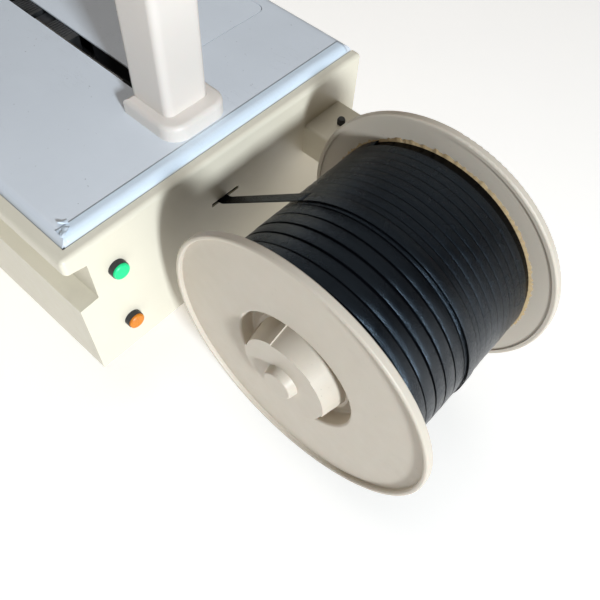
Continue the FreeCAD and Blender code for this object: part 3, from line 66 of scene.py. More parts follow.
class Graph:
    """A small wrapper round one material's node tree."""

    def __init__(self, name):
        self.material = bpy.data.materials.new(name)
        self.material.use_nodes = True
        self.tree = self.material.node_tree
        self.shader = self.tree.nodes["Principled BSDF"]
        self.place = self.add("ShaderNodeTexCoord").outputs["Object"]

    def add(self, kind, **settings):
        """A new node of a kind, with its own settings made."""
        node = self.tree.nodes.new(kind)
        for key, value in settings.items():
            setattr(node, key, value)
        return node

    def link(self, source, target):
        self.tree.links.new(source, target)

    def noise(self, scale, detail=3.0, rough=0.5, stretch=None):
        """A noise texture's value over object space, stretched along the axes where that is given."""
        node = self.add("ShaderNodeTexNoise")
        node.inputs["Scale"].default_value = scale
        node.inputs["Detail"].default_value = detail
        node.inputs["Roughness"].default_value = rough
        source = self.place
        if stretch:
            mapping = self.add("ShaderNodeMapping")
            mapping.inputs["Scale"].default_value = stretch
            self.link(source, mapping.inputs["Vector"])
            source = mapping.outputs["Vector"]
        self.link(source, node.inputs["Vector"])
        return node.outputs["Fac"]

    def ramp(self, value, stops):
        """A colour ramp over (position, colour) stops."""
        node = self.add("ShaderNodeValToRGB")
        elements = node.color_ramp.elements
        while len(elements) < len(stops):
            elements.new(0.5)
        for element, (position, colour) in zip(elements, stops):
            element.position = position
            element.color = (*colour, 1.0)
        self.link(value, node.inputs["Fac"])
        return node.outputs["Color"]

    def levels(self, value, low, high, out_low=0.0, out_high=1.0):
        """A value brought from one range to another, and held inside it."""
        node = self.add("ShaderNodeMapRange")
        node.inputs["From Min"].default_value = low
        node.inputs["From Max"].default_value = high
        node.inputs["To Min"].default_value = out_low
        node.inputs["To Max"].default_value = out_high
        self.link(value, node.inputs["Value"])
        return node.outputs["Result"]

    def math(self, operation, first, second=None):
        """A sum of one or two terms, each a number or a socket."""
        node = self.add("ShaderNodeMath", operation=operation)
        for socket, value in zip(node.inputs, (first, second)):
            if value is None:
                continue
            if isinstance(value, (int, float)):
                socket.default_value = value
            else:
                self.link(value, socket)
        return node.outputs["Value"]

    def mix(self, factor, first, second):
        """A colour mix; first and second are colours or sockets."""
        node = self.add("ShaderNodeMix", data_type="RGBA")
        self.link(factor, node.inputs[0])
        for socket, value in ((node.inputs[6], first), (node.inputs[7], second)):
            if isinstance(value, tuple):
                socket.default_value = (*value, 1.0)
            else:
                self.link(value, socket)
        return node.outputs[2]

    def axes(self):
        """The three coordinates in object space."""
        node = self.add("ShaderNodeSeparateXYZ")
        self.link(self.place, node.inputs[0])
        return node.outputs

    def bump(self, heights):
        """Chains bumps from (height socket, strength, distance) triples into the shader's normal."""
        normal = None
        for height, strength, distance in heights:
            node = self.add("ShaderNodeBump")
            node.inputs["Strength"].default_value = strength
            node.inputs["Distance"].default_value = distance
            self.link(height, node.inputs["Height"])
            if normal is not None:
                self.link(normal, node.inputs["Normal"])
            normal = node.outputs["Normal"]
        self.link(normal, self.shader.inputs["Normal"])

    def set(self, **values):
        """Sets the shader's own sockets by name."""
        for name, value in values.items():
            socket = name.replace("_", " ").title().replace("Ior", "IOR")
            self.shader.inputs[socket].default_value = value

    def finish(self, colour=None, roughness=None):
        """Links colour and roughness into the shader and gives the material back."""
        if colour is not None:
            self.link(colour, self.shader.inputs["Base Color"])
        if roughness is not None:
            self.link(roughness, self.shader.inputs["Roughness"])
        return self.material


def shade(colour, factor):
    """A colour made darker or lighter by a factor."""
    return tuple(min(1.0, channel * factor) for channel in colour)


def speckled(graph, colour, spread, scale):
    """A base colour that drifts gently lighter and darker."""
    drift = graph.noise(scale, detail=4.0)
    return graph.ramp(drift, [(0.3, shade(colour, 1 - spread)), (0.7, shade(colour, 1 + spread))])


def grime(graph, base, colour, scale, threshold, strength):
    """Faint handling marks laid over a colour."""
    patches = graph.noise(scale, detail=8.0, rough=0.65)
    return graph.mix(graph.levels(patches, threshold, threshold + 0.2, 0.0, strength), base, colour)


def coated_paint(name, colour, roughness=0.42):
    """Powder-coated sheet: fine orange peel, soft tone drift and faint marks."""
    graph = Graph(name)
    base = speckled(graph, colour, 0.025, 6.0)
    base = grime(graph, base, shade(colour, 0.72), 14.0, 0.62, 0.35)
    waves = graph.noise(60.0, detail=2.0)
    peel = graph.noise(1400.0, detail=2.0)
    graph.bump([(waves, 0.06, 0.002), (peel, 0.10, 0.0004)])
    rough = graph.levels(graph.noise(90.0, detail=4.0), 0.3, 0.7, roughness - 0.05, roughness + 0.07)
    graph.set(coat_weight=0.12, coat_roughness=0.25)
    return graph.finish(base, rough)


def moulded_plastic(name, colour, roughness=0.38, grain=0.08, subsurface=0.05):
    """Moulded plastic: a fine spark grain, slow tone drift and a little depth."""
    graph = Graph(name)
    base = speckled(graph, colour, 0.02, 9.0)
    base = grime(graph, base, shade(colour, 0.75), 22.0, 0.66, 0.3)
    graph.bump([
        (graph.noise(25.0, detail=1.0), 0.05, 0.003),
        (graph.noise(2200.0, detail=2.0), grain, 0.0003),
    ])
    graph.set(subsurface_weight=subsurface, subsurface_scale=0.004)
    rough = graph.levels(graph.noise(150.0, detail=3.0), 0.3, 0.7, roughness - 0.05, roughness + 0.06)
    return graph.finish(base, rough)


def reel_plastic(name, colour):
    """The reel's moulding: flow rings round the axis, dust and small scuffs."""
    graph = Graph(name)
    x, _, z = graph.axes()
    square_x = graph.math("POWER", graph.math("SUBTRACT", x, REEL_X), 2.0)
    square_z = graph.math("POWER", graph.math("SUBTRACT", z, REEL_Z), 2.0)
    radius = graph.math("SQRT", graph.math("ADD", square_x, square_z))
    rings = graph.math("SINE", graph.math("MULTIPLY", radius, 900.0))
    base = speckled(graph, colour, 0.03, 7.0)
    specks = graph.noise(420.0, detail=2.0, rough=0.4)
    base = graph.mix(graph.levels(specks, 0.74, 0.80, 0.0, 0.5), base, shade(colour, 0.5))
    base = grime(graph, base, shade(colour, 0.78), 16.0, 0.60, 0.35)
    graph.bump([
        (graph.noise(18.0, detail=1.0), 0.08, 0.003),
        (rings, 0.015, 0.0003),
        (graph.noise(1800.0, detail=2.0), 0.10, 0.0003),
    ])
    graph.set(subsurface_weight=0.06, subsurface_scale=0.004)
    rough = graph.levels(graph.noise(80.0, detail=5.0), 0.3, 0.7, 0.38, 0.52)
    return graph.finish(base, rough)


def film_on_steel(name, colour, crease):
    """Steel sheet under a protective film: slow ripples, fine creases and hair scratches whose lines carry
    painted shade, and trapped air.
    """
    graph = Graph(name)
    cloud = graph.noise(3.5, detail=5.0, rough=0.6)
    base = graph.ramp(cloud, [(0.30, shade(colour, 0.95)), (0.52, colour), (0.75, shade(colour, 1.05))])
    hair = graph.noise(26.0, detail=6.0, rough=0.7, stretch=crease)
    line = graph.levels(graph.math("ABSOLUTE", graph.math("SUBTRACT", hair, 0.5)), 0.0, 0.006, 0.55, 0.0)
    patch = graph.levels(graph.noise(9.0, detail=2.0), 0.56, 0.68)
    # The crease lines are darkened: painted shade along the creases, on top of their bump.
    base = graph.mix(graph.math("MULTIPLY", line, patch), base, shade(colour, 0.62))
    specks = graph.noise(330.0, detail=1.0, rough=0.3)
    base = graph.mix(graph.levels(specks, 0.79, 0.82, 0.0, 0.5), base, shade(colour, 0.4))
    ripple = graph.noise(11.0, detail=3.0, rough=0.55, stretch=(1.0, 2.2, 1.0))
    fine = graph.noise(75.0, detail=6.0, rough=0.62, stretch=(2.0, 1.0, 1.0))
    graph.bump([(ripple, 0.10, 0.004), (line, 0.25, 0.0004), (fine, 0.10, 0.0008)])
    graph.set(coat_weight=0.5, coat_roughness=0.22)
    rough = graph.levels(graph.noise(30.0, detail=6.0, rough=0.65), 0.3, 0.7, 0.30, 0.48)
    return graph.finish(base, rough)


EMBOSS_PITCH = 1.6


def embossed_strap(name, colour):
    """Polypropylene strap: crossed diagonal embossing on the strap's own map, which is in millimetres."""
    graph = Graph(name)
    split = graph.add("ShaderNodeSeparateXYZ")
    graph.link(graph.add("ShaderNodeUVMap", uv_map="strap").outputs["UV"], split.inputs[0])
    along, over = split.outputs[0], split.outputs[1]
    turns = 2 * math.pi / EMBOSS_PITCH
    first = graph.math("SINE", graph.math("MULTIPLY", graph.math("ADD", along, over), turns))
    second = graph.math("SINE", graph.math("MULTIPLY", graph.math("SUBTRACT", along, over), turns))
    diamonds = graph.math("MULTIPLY", first, second)
    half = STRAP_WIDTH / MM / 2
    edge = graph.math("ABSOLUTE", graph.math("SUBTRACT", over, half))
    inside = graph.levels(edge, half - 0.9, half - 0.5, 1.0, 0.0)
    raised = graph.math("MULTIPLY", diamonds, inside)
    dust = graph.noise(160.0, detail=6.0, rough=0.7)
    base = graph.ramp(dust, [(0.35, colour), (0.8, shade(colour, 1.5))])
    # The low cells of the embossing are darkened: painted shade in the hollows.
    base = graph.mix(graph.levels(raised, -0.2, -0.9, 0.0, 0.5), base, shade(colour, 0.5))
    graph.bump([(graph.noise(40.0, detail=2.0), 0.06, 0.001), (raised, 0.4, 0.0003)])
    gloss = graph.levels(edge, half - 1.2, half - 0.6, 0.46, 0.03)
    graph.link(gloss, graph.shader.inputs["Specular IOR Level"])
    graph.set(specular_tint=(0.60, 0.80, 1.0, 1.0))
    rough = graph.levels(graph.noise(60.0, detail=4.0), 0.3, 0.7, 0.20, 0.30)
    return graph.finish(base, rough)


def worked_metal(name, colour, roughness, stretch):
    """Ground or drawn metal with its grain along one axis."""
    graph = Graph(name)
    lay = graph.noise(260.0, detail=6.0, rough=0.6, stretch=stretch)
    base = graph.ramp(lay, [(0.3, shade(colour, 0.82)), (0.7, shade(colour, 1.12))])
    base = grime(graph, base, shade(colour, 0.45), 40.0, 0.60, 0.45)
    graph.bump([(lay, 0.12, 0.0003)])
    graph.set(metallic=1.0)
    rough = graph.levels(graph.noise(70.0, detail=5.0), 0.3, 0.7, roughness - 0.08, roughness + 0.12)
    return graph.finish(base, rough)


def black_finish(name, colour, roughness, grain=1500.0, strength=0.12):
    """Dark plastic, rubber or blackened steel: a fine grain and a little dust."""
    graph = Graph(name)
    base = speckled(graph, colour, 0.25, 30.0)
    base = grime(graph, base, (0.10, 0.10, 0.095), 60.0, 0.60, 0.25)
    graph.bump([(graph.noise(grain, detail=3.0), strength, 0.0004)])
    rough = graph.levels(graph.noise(120.0, detail=4.0), 0.3, 0.7, roughness - 0.06, roughness + 0.08)
    return graph.finish(base, rough)


def glow_painted_lens(name, colour, glow):
    """A coloured button lens with a painted glow, an emission that brightens it: fine prisms under a smooth
    face.
    """
    graph = Graph(name)
    prisms = graph.noise(900.0, detail=2.0)
    base = graph.ramp(prisms, [(0.3, shade(colour, 0.85)), (0.7, shade(colour, 1.1))])
    graph.bump([(prisms, 0.06, 0.0003)])
    # The emission is a painted glow that makes the lens look brighter; the button is no lamp.
    graph.link(base, graph.shader.inputs["Emission Color"])
    graph.set(emission_strength=glow, coat_weight=0.15, coat_roughness=0.3, subsurface_weight=0.2,
              subsurface_scale=0.003)
    rough = graph.levels(graph.noise(200.0, detail=3.0), 0.3, 0.7, 0.42, 0.55)
    return graph.finish(base, rough)


# ---------------------------------------------------------------- materials

CREAM = (0.78, 0.72, 0.58)
IVORY = (0.83, 0.76, 0.69)
BEIGE = (0.61, 0.54, 0.445)
FILM = (0.78, 0.82, 0.87)

MATERIALS = {
    "cream": coated_paint("cream_coat", CREAM),
    "ivory": moulded_plastic("ivory_moulding", IVORY),
    "reel": reel_plastic("reel_moulding", BEIGE),
    "film": film_on_steel("table_film", FILM, (0.35, 1.6, 1.0)),
    "cover_film": film_on_steel("cover_film", shade(FILM, 1.03), (1.4, 0.4, 1.0)),
    "strap": embossed_strap("embossed_strap", (0.0018, 0.0021, 0.003)),
    "frame": coated_paint("frame_coat", (0.10, 0.105, 0.11), roughness=0.55),
    "box": coated_paint("box_coat", (0.35, 0.36, 0.35), roughness=0.5),
    "motor": coated_paint("motor_coat", (0.05, 0.09, 0.16), roughness=0.45),
    "zinc": worked_metal("zinc_plate", (0.55, 0.55, 0.52), 0.35, (1.0, 1.0, 6.0)),
    "ground": worked_metal("ground_steel", (0.33, 0.34, 0.35), 0.38, (0.4, 4.0, 4.0)),
    "gripper": worked_metal("gripper_steel", (0.16, 0.165, 0.17), 0.42, (0.4, 5.0, 1.0)),
    "rail": worked_metal("polished_rail", (0.86, 0.87, 0.88), 0.18, (0.2, 6.0, 6.0)),
    "aluminium": worked_metal("drawn_aluminium", (0.62, 0.63, 0.65), 0.32, (4.0, 4.0, 0.3)),
    "copper": worked_metal("heated_copper", (0.45, 0.22, 0.12), 0.45, (4.0, 0.5, 1.0)),
    "oxide": black_finish("black_oxide", (0.02, 0.021, 0.023), 0.42),
    "channel": black_finish("channel_black", (0.008, 0.008, 0.009), 0.6),
    "black": black_finish("black_moulding", (0.018, 0.018, 0.02), 0.45),
    "rubber": black_finish("rubber", (0.02, 0.02, 0.02), 0.8, grain=700.0, strength=0.3),
    "rocker": black_finish("rocker_red", (0.30, 0.012, 0.012), 0.25),
    "bush": moulded_plastic("bush_plastic", (0.70, 0.69, 0.64), subsurface=0.1),
    "flap": moulded_plastic("flap_plastic", (0.45, 0.43, 0.39)),
    "green": glow_painted_lens("green_lens", (0.002, 0.60, 0.22), 0.4),
    "orange": glow_painted_lens("orange_lens", (0.62, 0.19, 0.002), 0.22),
    # A bluer, brighter copy of the table film: a painted highlight for the lit rim band and the shreds.
    "film_painted_highlight": film_on_steel("film_painted_highlight", (0.74, 0.84, 0.93), (0.3, 6.0, 1.0)),
    "mark": moulded_plastic("mark_white", (0.85, 0.85, 0.82)),
    "board": moulded_plastic("coil_board", (0.42, 0.30, 0.16), roughness=0.8, grain=0.3),
}

NODE_MATERIAL = {
    "cream": ["base_tray", "front_panel", "rear_panel", "left_end_panel", "right_end_panel", "reel_bracket"],
    "ivory": ["arch_beam", "arch_feet", "arch_post_left", "arch_post_right"],
    "reel": ["front_flange", "rear_flange", "hub_nut", "reel_drum"],
    "film": ["table_plate"],
    "cover_film": ["rear_cover"],
    "strap": ["strap_coil", "strap_lead"],
    "frame": ["base_frame", "table_subframe"],
    "box": ["control_box", "strap_pool_box"],
    "motor": ["gearbox", "drive_motor"],
    "zinc": ["bracket_bolts", "foot_bolts", "panel_screws", "shaft_nut", "reel_shaft",
             "cover_hinge_leaves", "table_hinge_leaves"],
    "ground": ["head_frame", "head_guides", "cam_shaft", "roller_bracket"],
    "gripper": ["right_gripper", "left_gripper", "pinch_roller"],
    "rail": ["slot_rail"],
    "aluminium": ["arch_tracks"],
    "copper": ["heater_blade"],
    "oxide": ["press_ram", "slide_plate"],
    "channel": ["slot_channel", "strap_inlet_guide"],
    "black": ["bracket_knob", "button_bodies", "control_housing", "power_inlet", "tension_dial", "heat_dial"],
    "rubber": ["rubber_feet", "feed_roller"],
    "rocker": ["mains_rocker"],
    "bush": ["hub_sleeve"],
    "flap": ["arch_flap_left", "arch_flap_right", "arch_flap_top"],
    "green": ["green_button_cap"],
    "orange": ["orange_button_cap"],
}


def dress_nodes():
    """Gives every CAD node its material."""
    for key, names in NODE_MATERIAL.items():
        for name in names:
            item = NODES[name]
            item.data.materials.clear()
            item.data.materials.append(MATERIALS[key])


def soften_edges(names, width, segments):
    """Breaks the sharp edges of sheet and moulded nodes with a small bevel."""
    for name in names:
        item = NODES[name]
        bevel = item.modifiers.new("edge", "BEVEL")
        bevel.width = width
        bevel.segments = segments
        bevel.limit_method = "ANGLE"
        bevel.angle_limit = math.radians(50)


# ---------------------------------------------------------------- mesh helpers

def finished_mesh(name, mesh):
    """Turns a worked mesh into mesh data, with its normals outward."""
    bmesh.ops.recalc_face_normals(mesh, faces=mesh.faces)
    data = bpy.data.meshes.new(name)
    mesh.to_mesh(data)
    mesh.free()
    return data


def close_rings(mesh, low, high, smooth=True):
    """Joins two rings of vertices with a band of faces."""
    faces = []
    for k in range(len(low)):
        after = (k + 1) % len(low)
        face = mesh.faces.new((low[k], low[after], high[after], high[k]))
        face.smooth = smooth
        faces.append(face)
    return faces


def piece(name, mesh, body, material, slot, *replaced):
    """Puts a mesh in the scene with its material and its body, and hides the CAD nodes it stands for. The
    slot argument is not used.
    """
    item = bpy.data.objects.new(name, mesh)
    bpy.context.scene.collection.objects.link(item)
    mesh.materials.append(MATERIALS[material])
    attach(item, body)
    if replaced:
        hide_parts(*replaced)
    return item


def strap_section():
    """The strap's section: (across, out) points of a flat bar with rounded edges."""
    half = STRAP_WIDTH / 2
    thick = STRAP_GAUGE / 2
    points = []
    for side, start in ((1, -90), (-1, 90)):
        for step in range(5):
            angle = math.radians(start + 45 * step)
            points.append((side * (half - thick) + thick * math.cos(angle), thick * math.sin(angle)))
    return points


def strap_mesh(name, stations):
    """A strap swept through stations of (centre, across, out, run length); its map is in millimetres."""
    section = strap_section()
    mesh = bmesh.new()
    uv = mesh.loops.layers.uv.new("strap")
    rings = []
    for centre, across, out, _ in stations:
        rings.append([mesh.verts.new(centre + across * u + out * v) for u, v in section])
    over = [u / MM + STRAP_WIDTH / MM / 2 for u, _ in section]
    for index, (low, high) in enumerate(zip(rings, rings[1:])):
        low_run, high_run = stations[index][3] / MM, stations[index + 1][3] / MM
        for k, face in enumerate(close_rings(mesh, low, high)):
            after = (k + 1) % len(section)
            spots = ((low_run, over[k]), (low_run, over[after]), (high_run, over[after]), (high_run, over[k]))
            for loop, spot in zip(face.loops, spots):
                loop[uv].uv = spot
    mesh.faces.new(reversed(rings[0]))
    mesh.faces.new(rings[-1])
    return finished_mesh(name, mesh)


def round_station(angle, depth, radius, slant=0.0):
    """A strap station on a circle round the reel's axis; the angle is from +X towards +Z."""
    out = Vector((math.cos(angle), 0.0, math.sin(angle)))
    along = Vector((-math.sin(angle), 0.0, math.cos(angle)))
    across = (Vector((0.0, 1.0, 0.0)) - along * slant).normalized()
    centre = Vector((REEL_X, depth, REEL_Z)) + out * radius
    return centre, across, out


# ---------------------------------------------------------------- strap

WEB_FRONT = DRUM_LOW.y
WEB_REAR = DRUM_HIGH.y
TURNS = 17
STEPS = 72
CROWDED_PITCH = 9.4 * MM
OPEN_PITCH = 13.9 * MM
CROWDED_TURNS = 8.5
SPREADING_TURNS = 2.5
END_ROOM = 0.6 * MM
LAP_SPARE = 1.12
TOP_TURN_SWEEP = math.radians(300)
TOP_TURN_STEPS = 90
TOP_TURN_SHIFT = 13.0 * MM
TOP_TURN_SINK = 1.5 * MM
SINK_START = 0.75


def tangent_angle():
    """Where the lead leaves the coil, as an angle round the reel."""
    return math.atan2(LEAD_HIGH.z - REEL_Z, LEAD_HIGH.x - REEL_X)


def eased(part):
    """A smooth step from 0 to 1."""
    part = min(max(part, 0.0), 1.0)
    return part * part * (3 - 2 * part)


def winding_pitches():
    """The advance per turn at each step: the rear turns are crowded and overlap, the front ones lie open."""
    pitches = []
    for step in range((TURNS - 1) * STEPS):
        spread = eased((step / STEPS - CROWDED_TURNS) / SPREADING_TURNS)
        pitches.append(CROWDED_PITCH + (OPEN_PITCH - CROWDED_PITCH) * spread)
    room = WEB_REAR - WEB_FRONT - STRAP_WIDTH - 2 * END_ROOM
    fit = room * STEPS / sum(pitches)
    return [pitch * fit for pitch in pitches]


def winding():
    """The outer layer of the coil: each turn a little out of true, and tipped where it laps another."""
    radius = COIL_RADIUS - STRAP_GAUGE / 2 - 0.5 * MM
    depth = WEB_REAR - STRAP_WIDTH / 2 - END_ROOM
    stations = []
    for step, pitch in enumerate(winding_pitches()):
        turn = step / STEPS
        angle = 2 * math.pi * turn + tangent_angle()
        wander = 0.22 * math.sin(2.1 * turn + 0.7) + 0.16 * math.sin(angle * 0.61 + 1.3 * turn)
        lift = 0.12 * math.sin(1.7 * turn + 0.4) + 0.08 * math.sin(0.83 * angle)
        slant = -pitch / (2 * math.pi * radius)
        centre, across, out = round_station(angle, depth + wander * MM, radius + lift * MM, slant)
        lapped = 1 - eased((pitch - CROWDED_PITCH) / (OPEN_PITCH - CROWDED_PITCH))
        tip = lapped * LAP_SPARE * STRAP_GAUGE / pitch
        tipped = (across + out * tip).normalized()
        stations.append((centre, tipped, (out - across * tip).normalized(), radius * angle))
        depth -= pitch / STEPS
    return strap_mesh("strap_winding", stations)


def top_turn():
    """The last turn, lying over the layer below until it leaves along the lead."""
    start = tangent_angle()
    slant = TOP_TURN_SHIFT / (TOP_TURN_SWEEP * LEAD_RADIUS)
    stations = []
    for step in range(TOP_TURN_STEPS + 1):
        part = step / TOP_TURN_STEPS
        angle = start - TOP_TURN_SWEEP * part
        sink = TOP_TURN_SINK * eased((part - SINK_START) / (1 - SINK_START))
        station = round_station(angle, STRAP_MIDDLE + TOP_TURN_SHIFT * part, LEAD_RADIUS - sink, slant)
        stations.append((*station, LEAD_RADIUS * (start - angle)))
    return strap_mesh("strap_top_turn", stations)


BEND_REACH = 6 * MM


def lead_path():
    """Points along the lead: from the coil down to the slit, round a small bend and on to the guide."""
    touch, _, out = round_station(tangent_angle(), STRAP_MIDDLE, LEAD_RADIUS)
    down = Vector((-out.z, 0.0, out.x))
    bend_z = LEAD_LOW.z + STRAP_GAUGE / 2
    length = (touch.z - bend_z) / abs(down.z)
    corner = touch + down * length
    before = corner - down * BEND_REACH
    after = corner - Vector((BEND_REACH, 0.0, 0.0))
    inner_end = Vector((LEAD_LOW.x, STRAP_MIDDLE, bend_z))
    path = [touch + down * (length - BEND_REACH) * (step / 14) for step in range(15)]
    for step in range(1, 8):
        part = step / 8
        path.append(before.lerp(corner, part).lerp(corner.lerp(after, part), part))
    return path + [after.lerp(inner_end, step / 12) for step in range(13)]


def lead():
    """The taut lead, with its flat side up all along its path."""
    path = lead_path()
    across = Vector((0.0, 1.0, 0.0))
    stations = []
    run = 0.0
    for index, spot in enumerate(path):
        ahead = path[min(index + 1, len(path) - 1)]
        behind = path[max(index - 1, 0)]
        normal = across.cross((ahead - behind).normalized())
        if index:
            run += (spot - behind).length
        stations.append((spot, across, normal if normal.z > 0 else -normal, run))
    return strap_mesh("strap_lead_ribbon", stations)


def lathe(name, outline, segments, jag=None):
    """A ring turned about the reel's axis from (radius, depth, moves) points.

    jag(step) is added to the radius of the points that move.
    """
    mesh = bmesh.new()
    rings = []
    for step in range(segments):
        angle = 2 * math.pi * step / segments
        ring = []
        for radius, depth, moves in outline:
            reach = radius + (jag(step) if moves else 0.0)
            spot = (REEL_X + reach * math.cos(angle), depth, REEL_Z + reach * math.sin(angle))
            ring.append(mesh.verts.new(spot))
        rings.append(ring)
    for step in range(segments):
        close_rings(mesh, rings[step], rings[(step + 1) % segments])
    return finished_mesh(name, mesh)


CORE_SINK = 1.9 * MM
CORE_ROOM = 0.4 * MM
CORE_STEPS = 10
CORE_WAVE = 0.1 * MM


def coil_core():
    """The layers under the outer one, seen only in the gaps between turns."""
    radius = COIL_RADIUS - CORE_SINK
    bore = DRUM_HIGH.x - REEL_X
    low, high = WEB_FRONT + CORE_ROOM, WEB_REAR - CORE_ROOM
    outline = [(bore, low, False), (radius, low, False)]
    for step in range(1, CORE_STEPS):
        depth = low + (high - low) * step / CORE_STEPS
        outline.append((radius + CORE_WAVE * math.sin(1.9 * step), depth, False))
    outline += [(radius, high, False), (bore, high, False)]
    return lathe("coil_layers", outline, 96)


BOARD_TEETH = 360
BOARD_RISE = 1.6 * MM
BOARD_GAUGE = 0.3 * MM


def coil_board():
    """The torn edge of the board liner beside the rear flange."""
    teeth = random.Random(7)
    jags = [teeth.uniform(-1.2, 1.6) * MM for _ in range(BOARD_TEETH)]
    radius = COIL_RADIUS + BOARD_RISE
    high = WEB_REAR - 0.05 * MM
    low = high - BOARD_GAUGE
    bore = DRUM_HIGH.x - REEL_X
    outline = [(bore, low, False), (radius, low, True), (radius, high, True), (bore, high, False)]
    return lathe("coil_board", outline, BOARD_TEETH, lambda step: jags[step])


def dress_strap():
    """The strap's pieces in place of the plain coil and lead."""
    piece("strap_winding", winding(), "reel", "strap", "strap", "strap_coil")
    piece("strap_top_turn", top_turn(), "reel", "strap", "strap")
    piece("coil_layers", coil_core(), "reel", "strap", "strap")
    piece("coil_board", coil_board(), "reel", "board", "reel_plastic")
    piece("strap_lead_ribbon", lead(), "machine", "strap", "strap", "strap_lead")


# ---------------------------------------------------------------- film on the table

PLATE_ROUND = 10 * MM
FILM_GAUGE = 0.15 * MM
BAND_COLUMNS, BAND_ROWS = 12, 160
BAND_FLAT_PART = 0.35
BAND_FLAT = 7 * MM
BAND_TURN = 62
SCRAP_COLUMNS, SCRAP_ROWS = 9, 15
SCRAP_FOLD = 0.9 * MM


def sheet_rim(columns, rows):
    """The vertex numbers round the edge of a grid, in order."""
    near = list(range(columns))
    right = [row * columns + columns - 1 for row in range(1, rows)]
    far = [(rows - 1) * columns + k for k in range(columns - 2, -1, -1)]
    left = [row * columns for row in range(rows - 2, 0, -1)]
    return near + right + far + left


def sheet(name, spots, columns):
    """A sheet through rows of points, doubled downward by the film's gauge."""
    mesh = bmesh.new()
    upper = [mesh.verts.new(spot) for spot in spots]
    lower = [mesh.verts.new(spot - Vector((0.0, 0.0, FILM_GAUGE))) for spot in spots]
    rows = len(spots) // columns
    for row in range(rows - 1):
        for column in range(columns - 1):
            first = row * columns + column
            square = (first, first + 1, first + columns + 1, first + columns)
            mesh.faces.new([upper[k] for k in square]).smooth = True
            mesh.faces.new([lower[k] for k in reversed(square)]).smooth = True
    rim = sheet_rim(columns, rows)
    close_rings(mesh, [lower[k] for k in rim], [upper[k] for k in rim], smooth=False)
    return finished_mesh(name, mesh)


def band_line(part):
    """A point of the band's section and its outward direction, from the flat (0) round the edge (1)."""
    x, z = TABLE_HIGH.x - PLATE_ROUND, TABLE_HIGH.z - PLATE_ROUND
    if part < BAND_FLAT_PART:
        flat = 1 - part / BAND_FLAT_PART
        return Vector((x - BAND_FLAT * flat, 0.0, TABLE_HIGH.z)), Vector((0.0, 0.0, 1.0))
    angle = math.radians(90 - BAND_TURN * (part - BAND_FLAT_PART) / (1 - BAND_FLAT_PART))
    out = Vector((math.cos(angle), 0.0, math.sin(angle)))
    return Vector((x, 0.0, z)) + out * PLATE_ROUND, out


def film_band():
    """The film's edge, drawn over the plate's rounded right edge, with a faint wave along it."""
    front, rear = TABLE_LOW.y + 6 * MM, TABLE_HIGH.y - 8 * MM
    spots = []
    for row in range(BAND_ROWS):
        depth = front + (rear - front) * row / (BAND_ROWS - 1)
        wave = 0.25 + 0.15 * math.sin(61 * depth) + 0.10 * math.sin(173 * depth + 1)
        for column in range(BAND_COLUMNS):
            part = column / (BAND_COLUMNS - 1)
            spot, out = band_line(part)
            spot.y = depth
            swell = math.sin(math.pi * min(1.0, 1.2 * part)) ** 2
            spots.append(spot + out * (FILM_GAUGE + 0.05 * MM + 0.6 * wave * swell * MM))
    return sheet("film_band", spots, BAND_COLUMNS)


def film_scrap(name, corner, length, width, turn, seed):
    """A crumpled shred of film that stands up off the plate's corner."""
    creases = random.Random(seed)
    ridges = [(creases.uniform(0, math.pi), creases.uniform(2, 5), creases.uniform(0, 6)) for _ in range(4)]
    along = Vector((math.cos(turn), math.sin(turn), 0.0))
    over = Vector((-along.y, along.x, 0.0))
    spots = []
    for row in range(SCRAP_ROWS):
        for column in range(SCRAP_COLUMNS):
            u, v = row / (SCRAP_ROWS - 1), column / (SCRAP_COLUMNS - 1)
            fold = 0.0
            for way, count, phase in ridges:
                fold += abs(math.sin(count * (u * math.cos(way) + v * math.sin(way)) + phase))
            taper = 1.0 - 0.5 * u
            spot = corner + along * length * u + over * width * (v - 0.5) * taper
            spot.z = corner.z + 0.3 * MM + SCRAP_FOLD * fold * (0.25 + 0.75 * u)
            spots.append(spot)
    return sheet(name, spots, SCRAP_COLUMNS)


def dress_film():
    """The band along the right edge and two shreds at the front right corner, in a brighter, bluer film
    colour that is a painted highlight.
    """
    piece("film_band", film_band(), "machine", "film_painted_highlight", "table_film")
    long_place = Vector((TABLE_HIGH.x - 13 * MM, TABLE_LOW.y + 15 * MM, TABLE_HIGH.z))
    short_place = long_place + Vector((-4 * MM, 5 * MM, 0.0))
    scraps = (
        ("film_scrap_long", long_place, 13 * MM, 7 * MM, math.radians(-52), 3),
        ("film_scrap_short", short_place, 9 * MM, 5 * MM, math.radians(-110), 8),
    )
    for scrap in scraps:
        piece(scrap[0], film_scrap(*scrap), "machine", "film_painted_highlight", "table_film")


# ---------------------------------------------------------------- dial marks

ARC_STEPS = 9
POINTER_HALF_WIDTH = 0.9 * MM
POINTER_RISE = 0.3 * MM
TICKS = 11
TICK_STEP = 27
TICK_GAP = 2.6 * MM
TICK_HALF_LENGTH = 1.1 * MM
TICK_HALF_WIDTH = 0.35 * MM
TICK_RISE = 0.12 * MM


def rounded_bar(name, middle, half_length, half_width, gauge, turn):
    """A thin raised mark with round ends on a face that looks along -Y."""
    mesh = bmesh.new()
    outline = []
    for side, start in ((1, -90), (-1, 90)):
        for step in range(ARC_STEPS):
            angle = math.radians(start + 180 * step / (ARC_STEPS - 1))
            u = side * (half_length - half_width) + half_width * math.cos(angle)
            v = half_width * math.sin(angle)
            outline.append((u * math.cos(turn) - v * math.sin(turn), u * math.sin(turn) + v * math.cos(turn)))
    rings = []
    for shrink, rise in ((1.0, -0.2 * gauge), (1.0, 0.7 * gauge), (0.93, gauge)):
        rings.append([mesh.verts.new(middle + Vector((u * shrink, -rise, v * shrink))) for u, v in outline])
    for low, high in zip(rings, rings[1:]):
        close_rings(mesh, low, high, smooth=False)
    mesh.faces.new(rings[-1])
    mesh.faces.new(list(reversed(rings[0])))
    return finished_mesh(name, mesh)


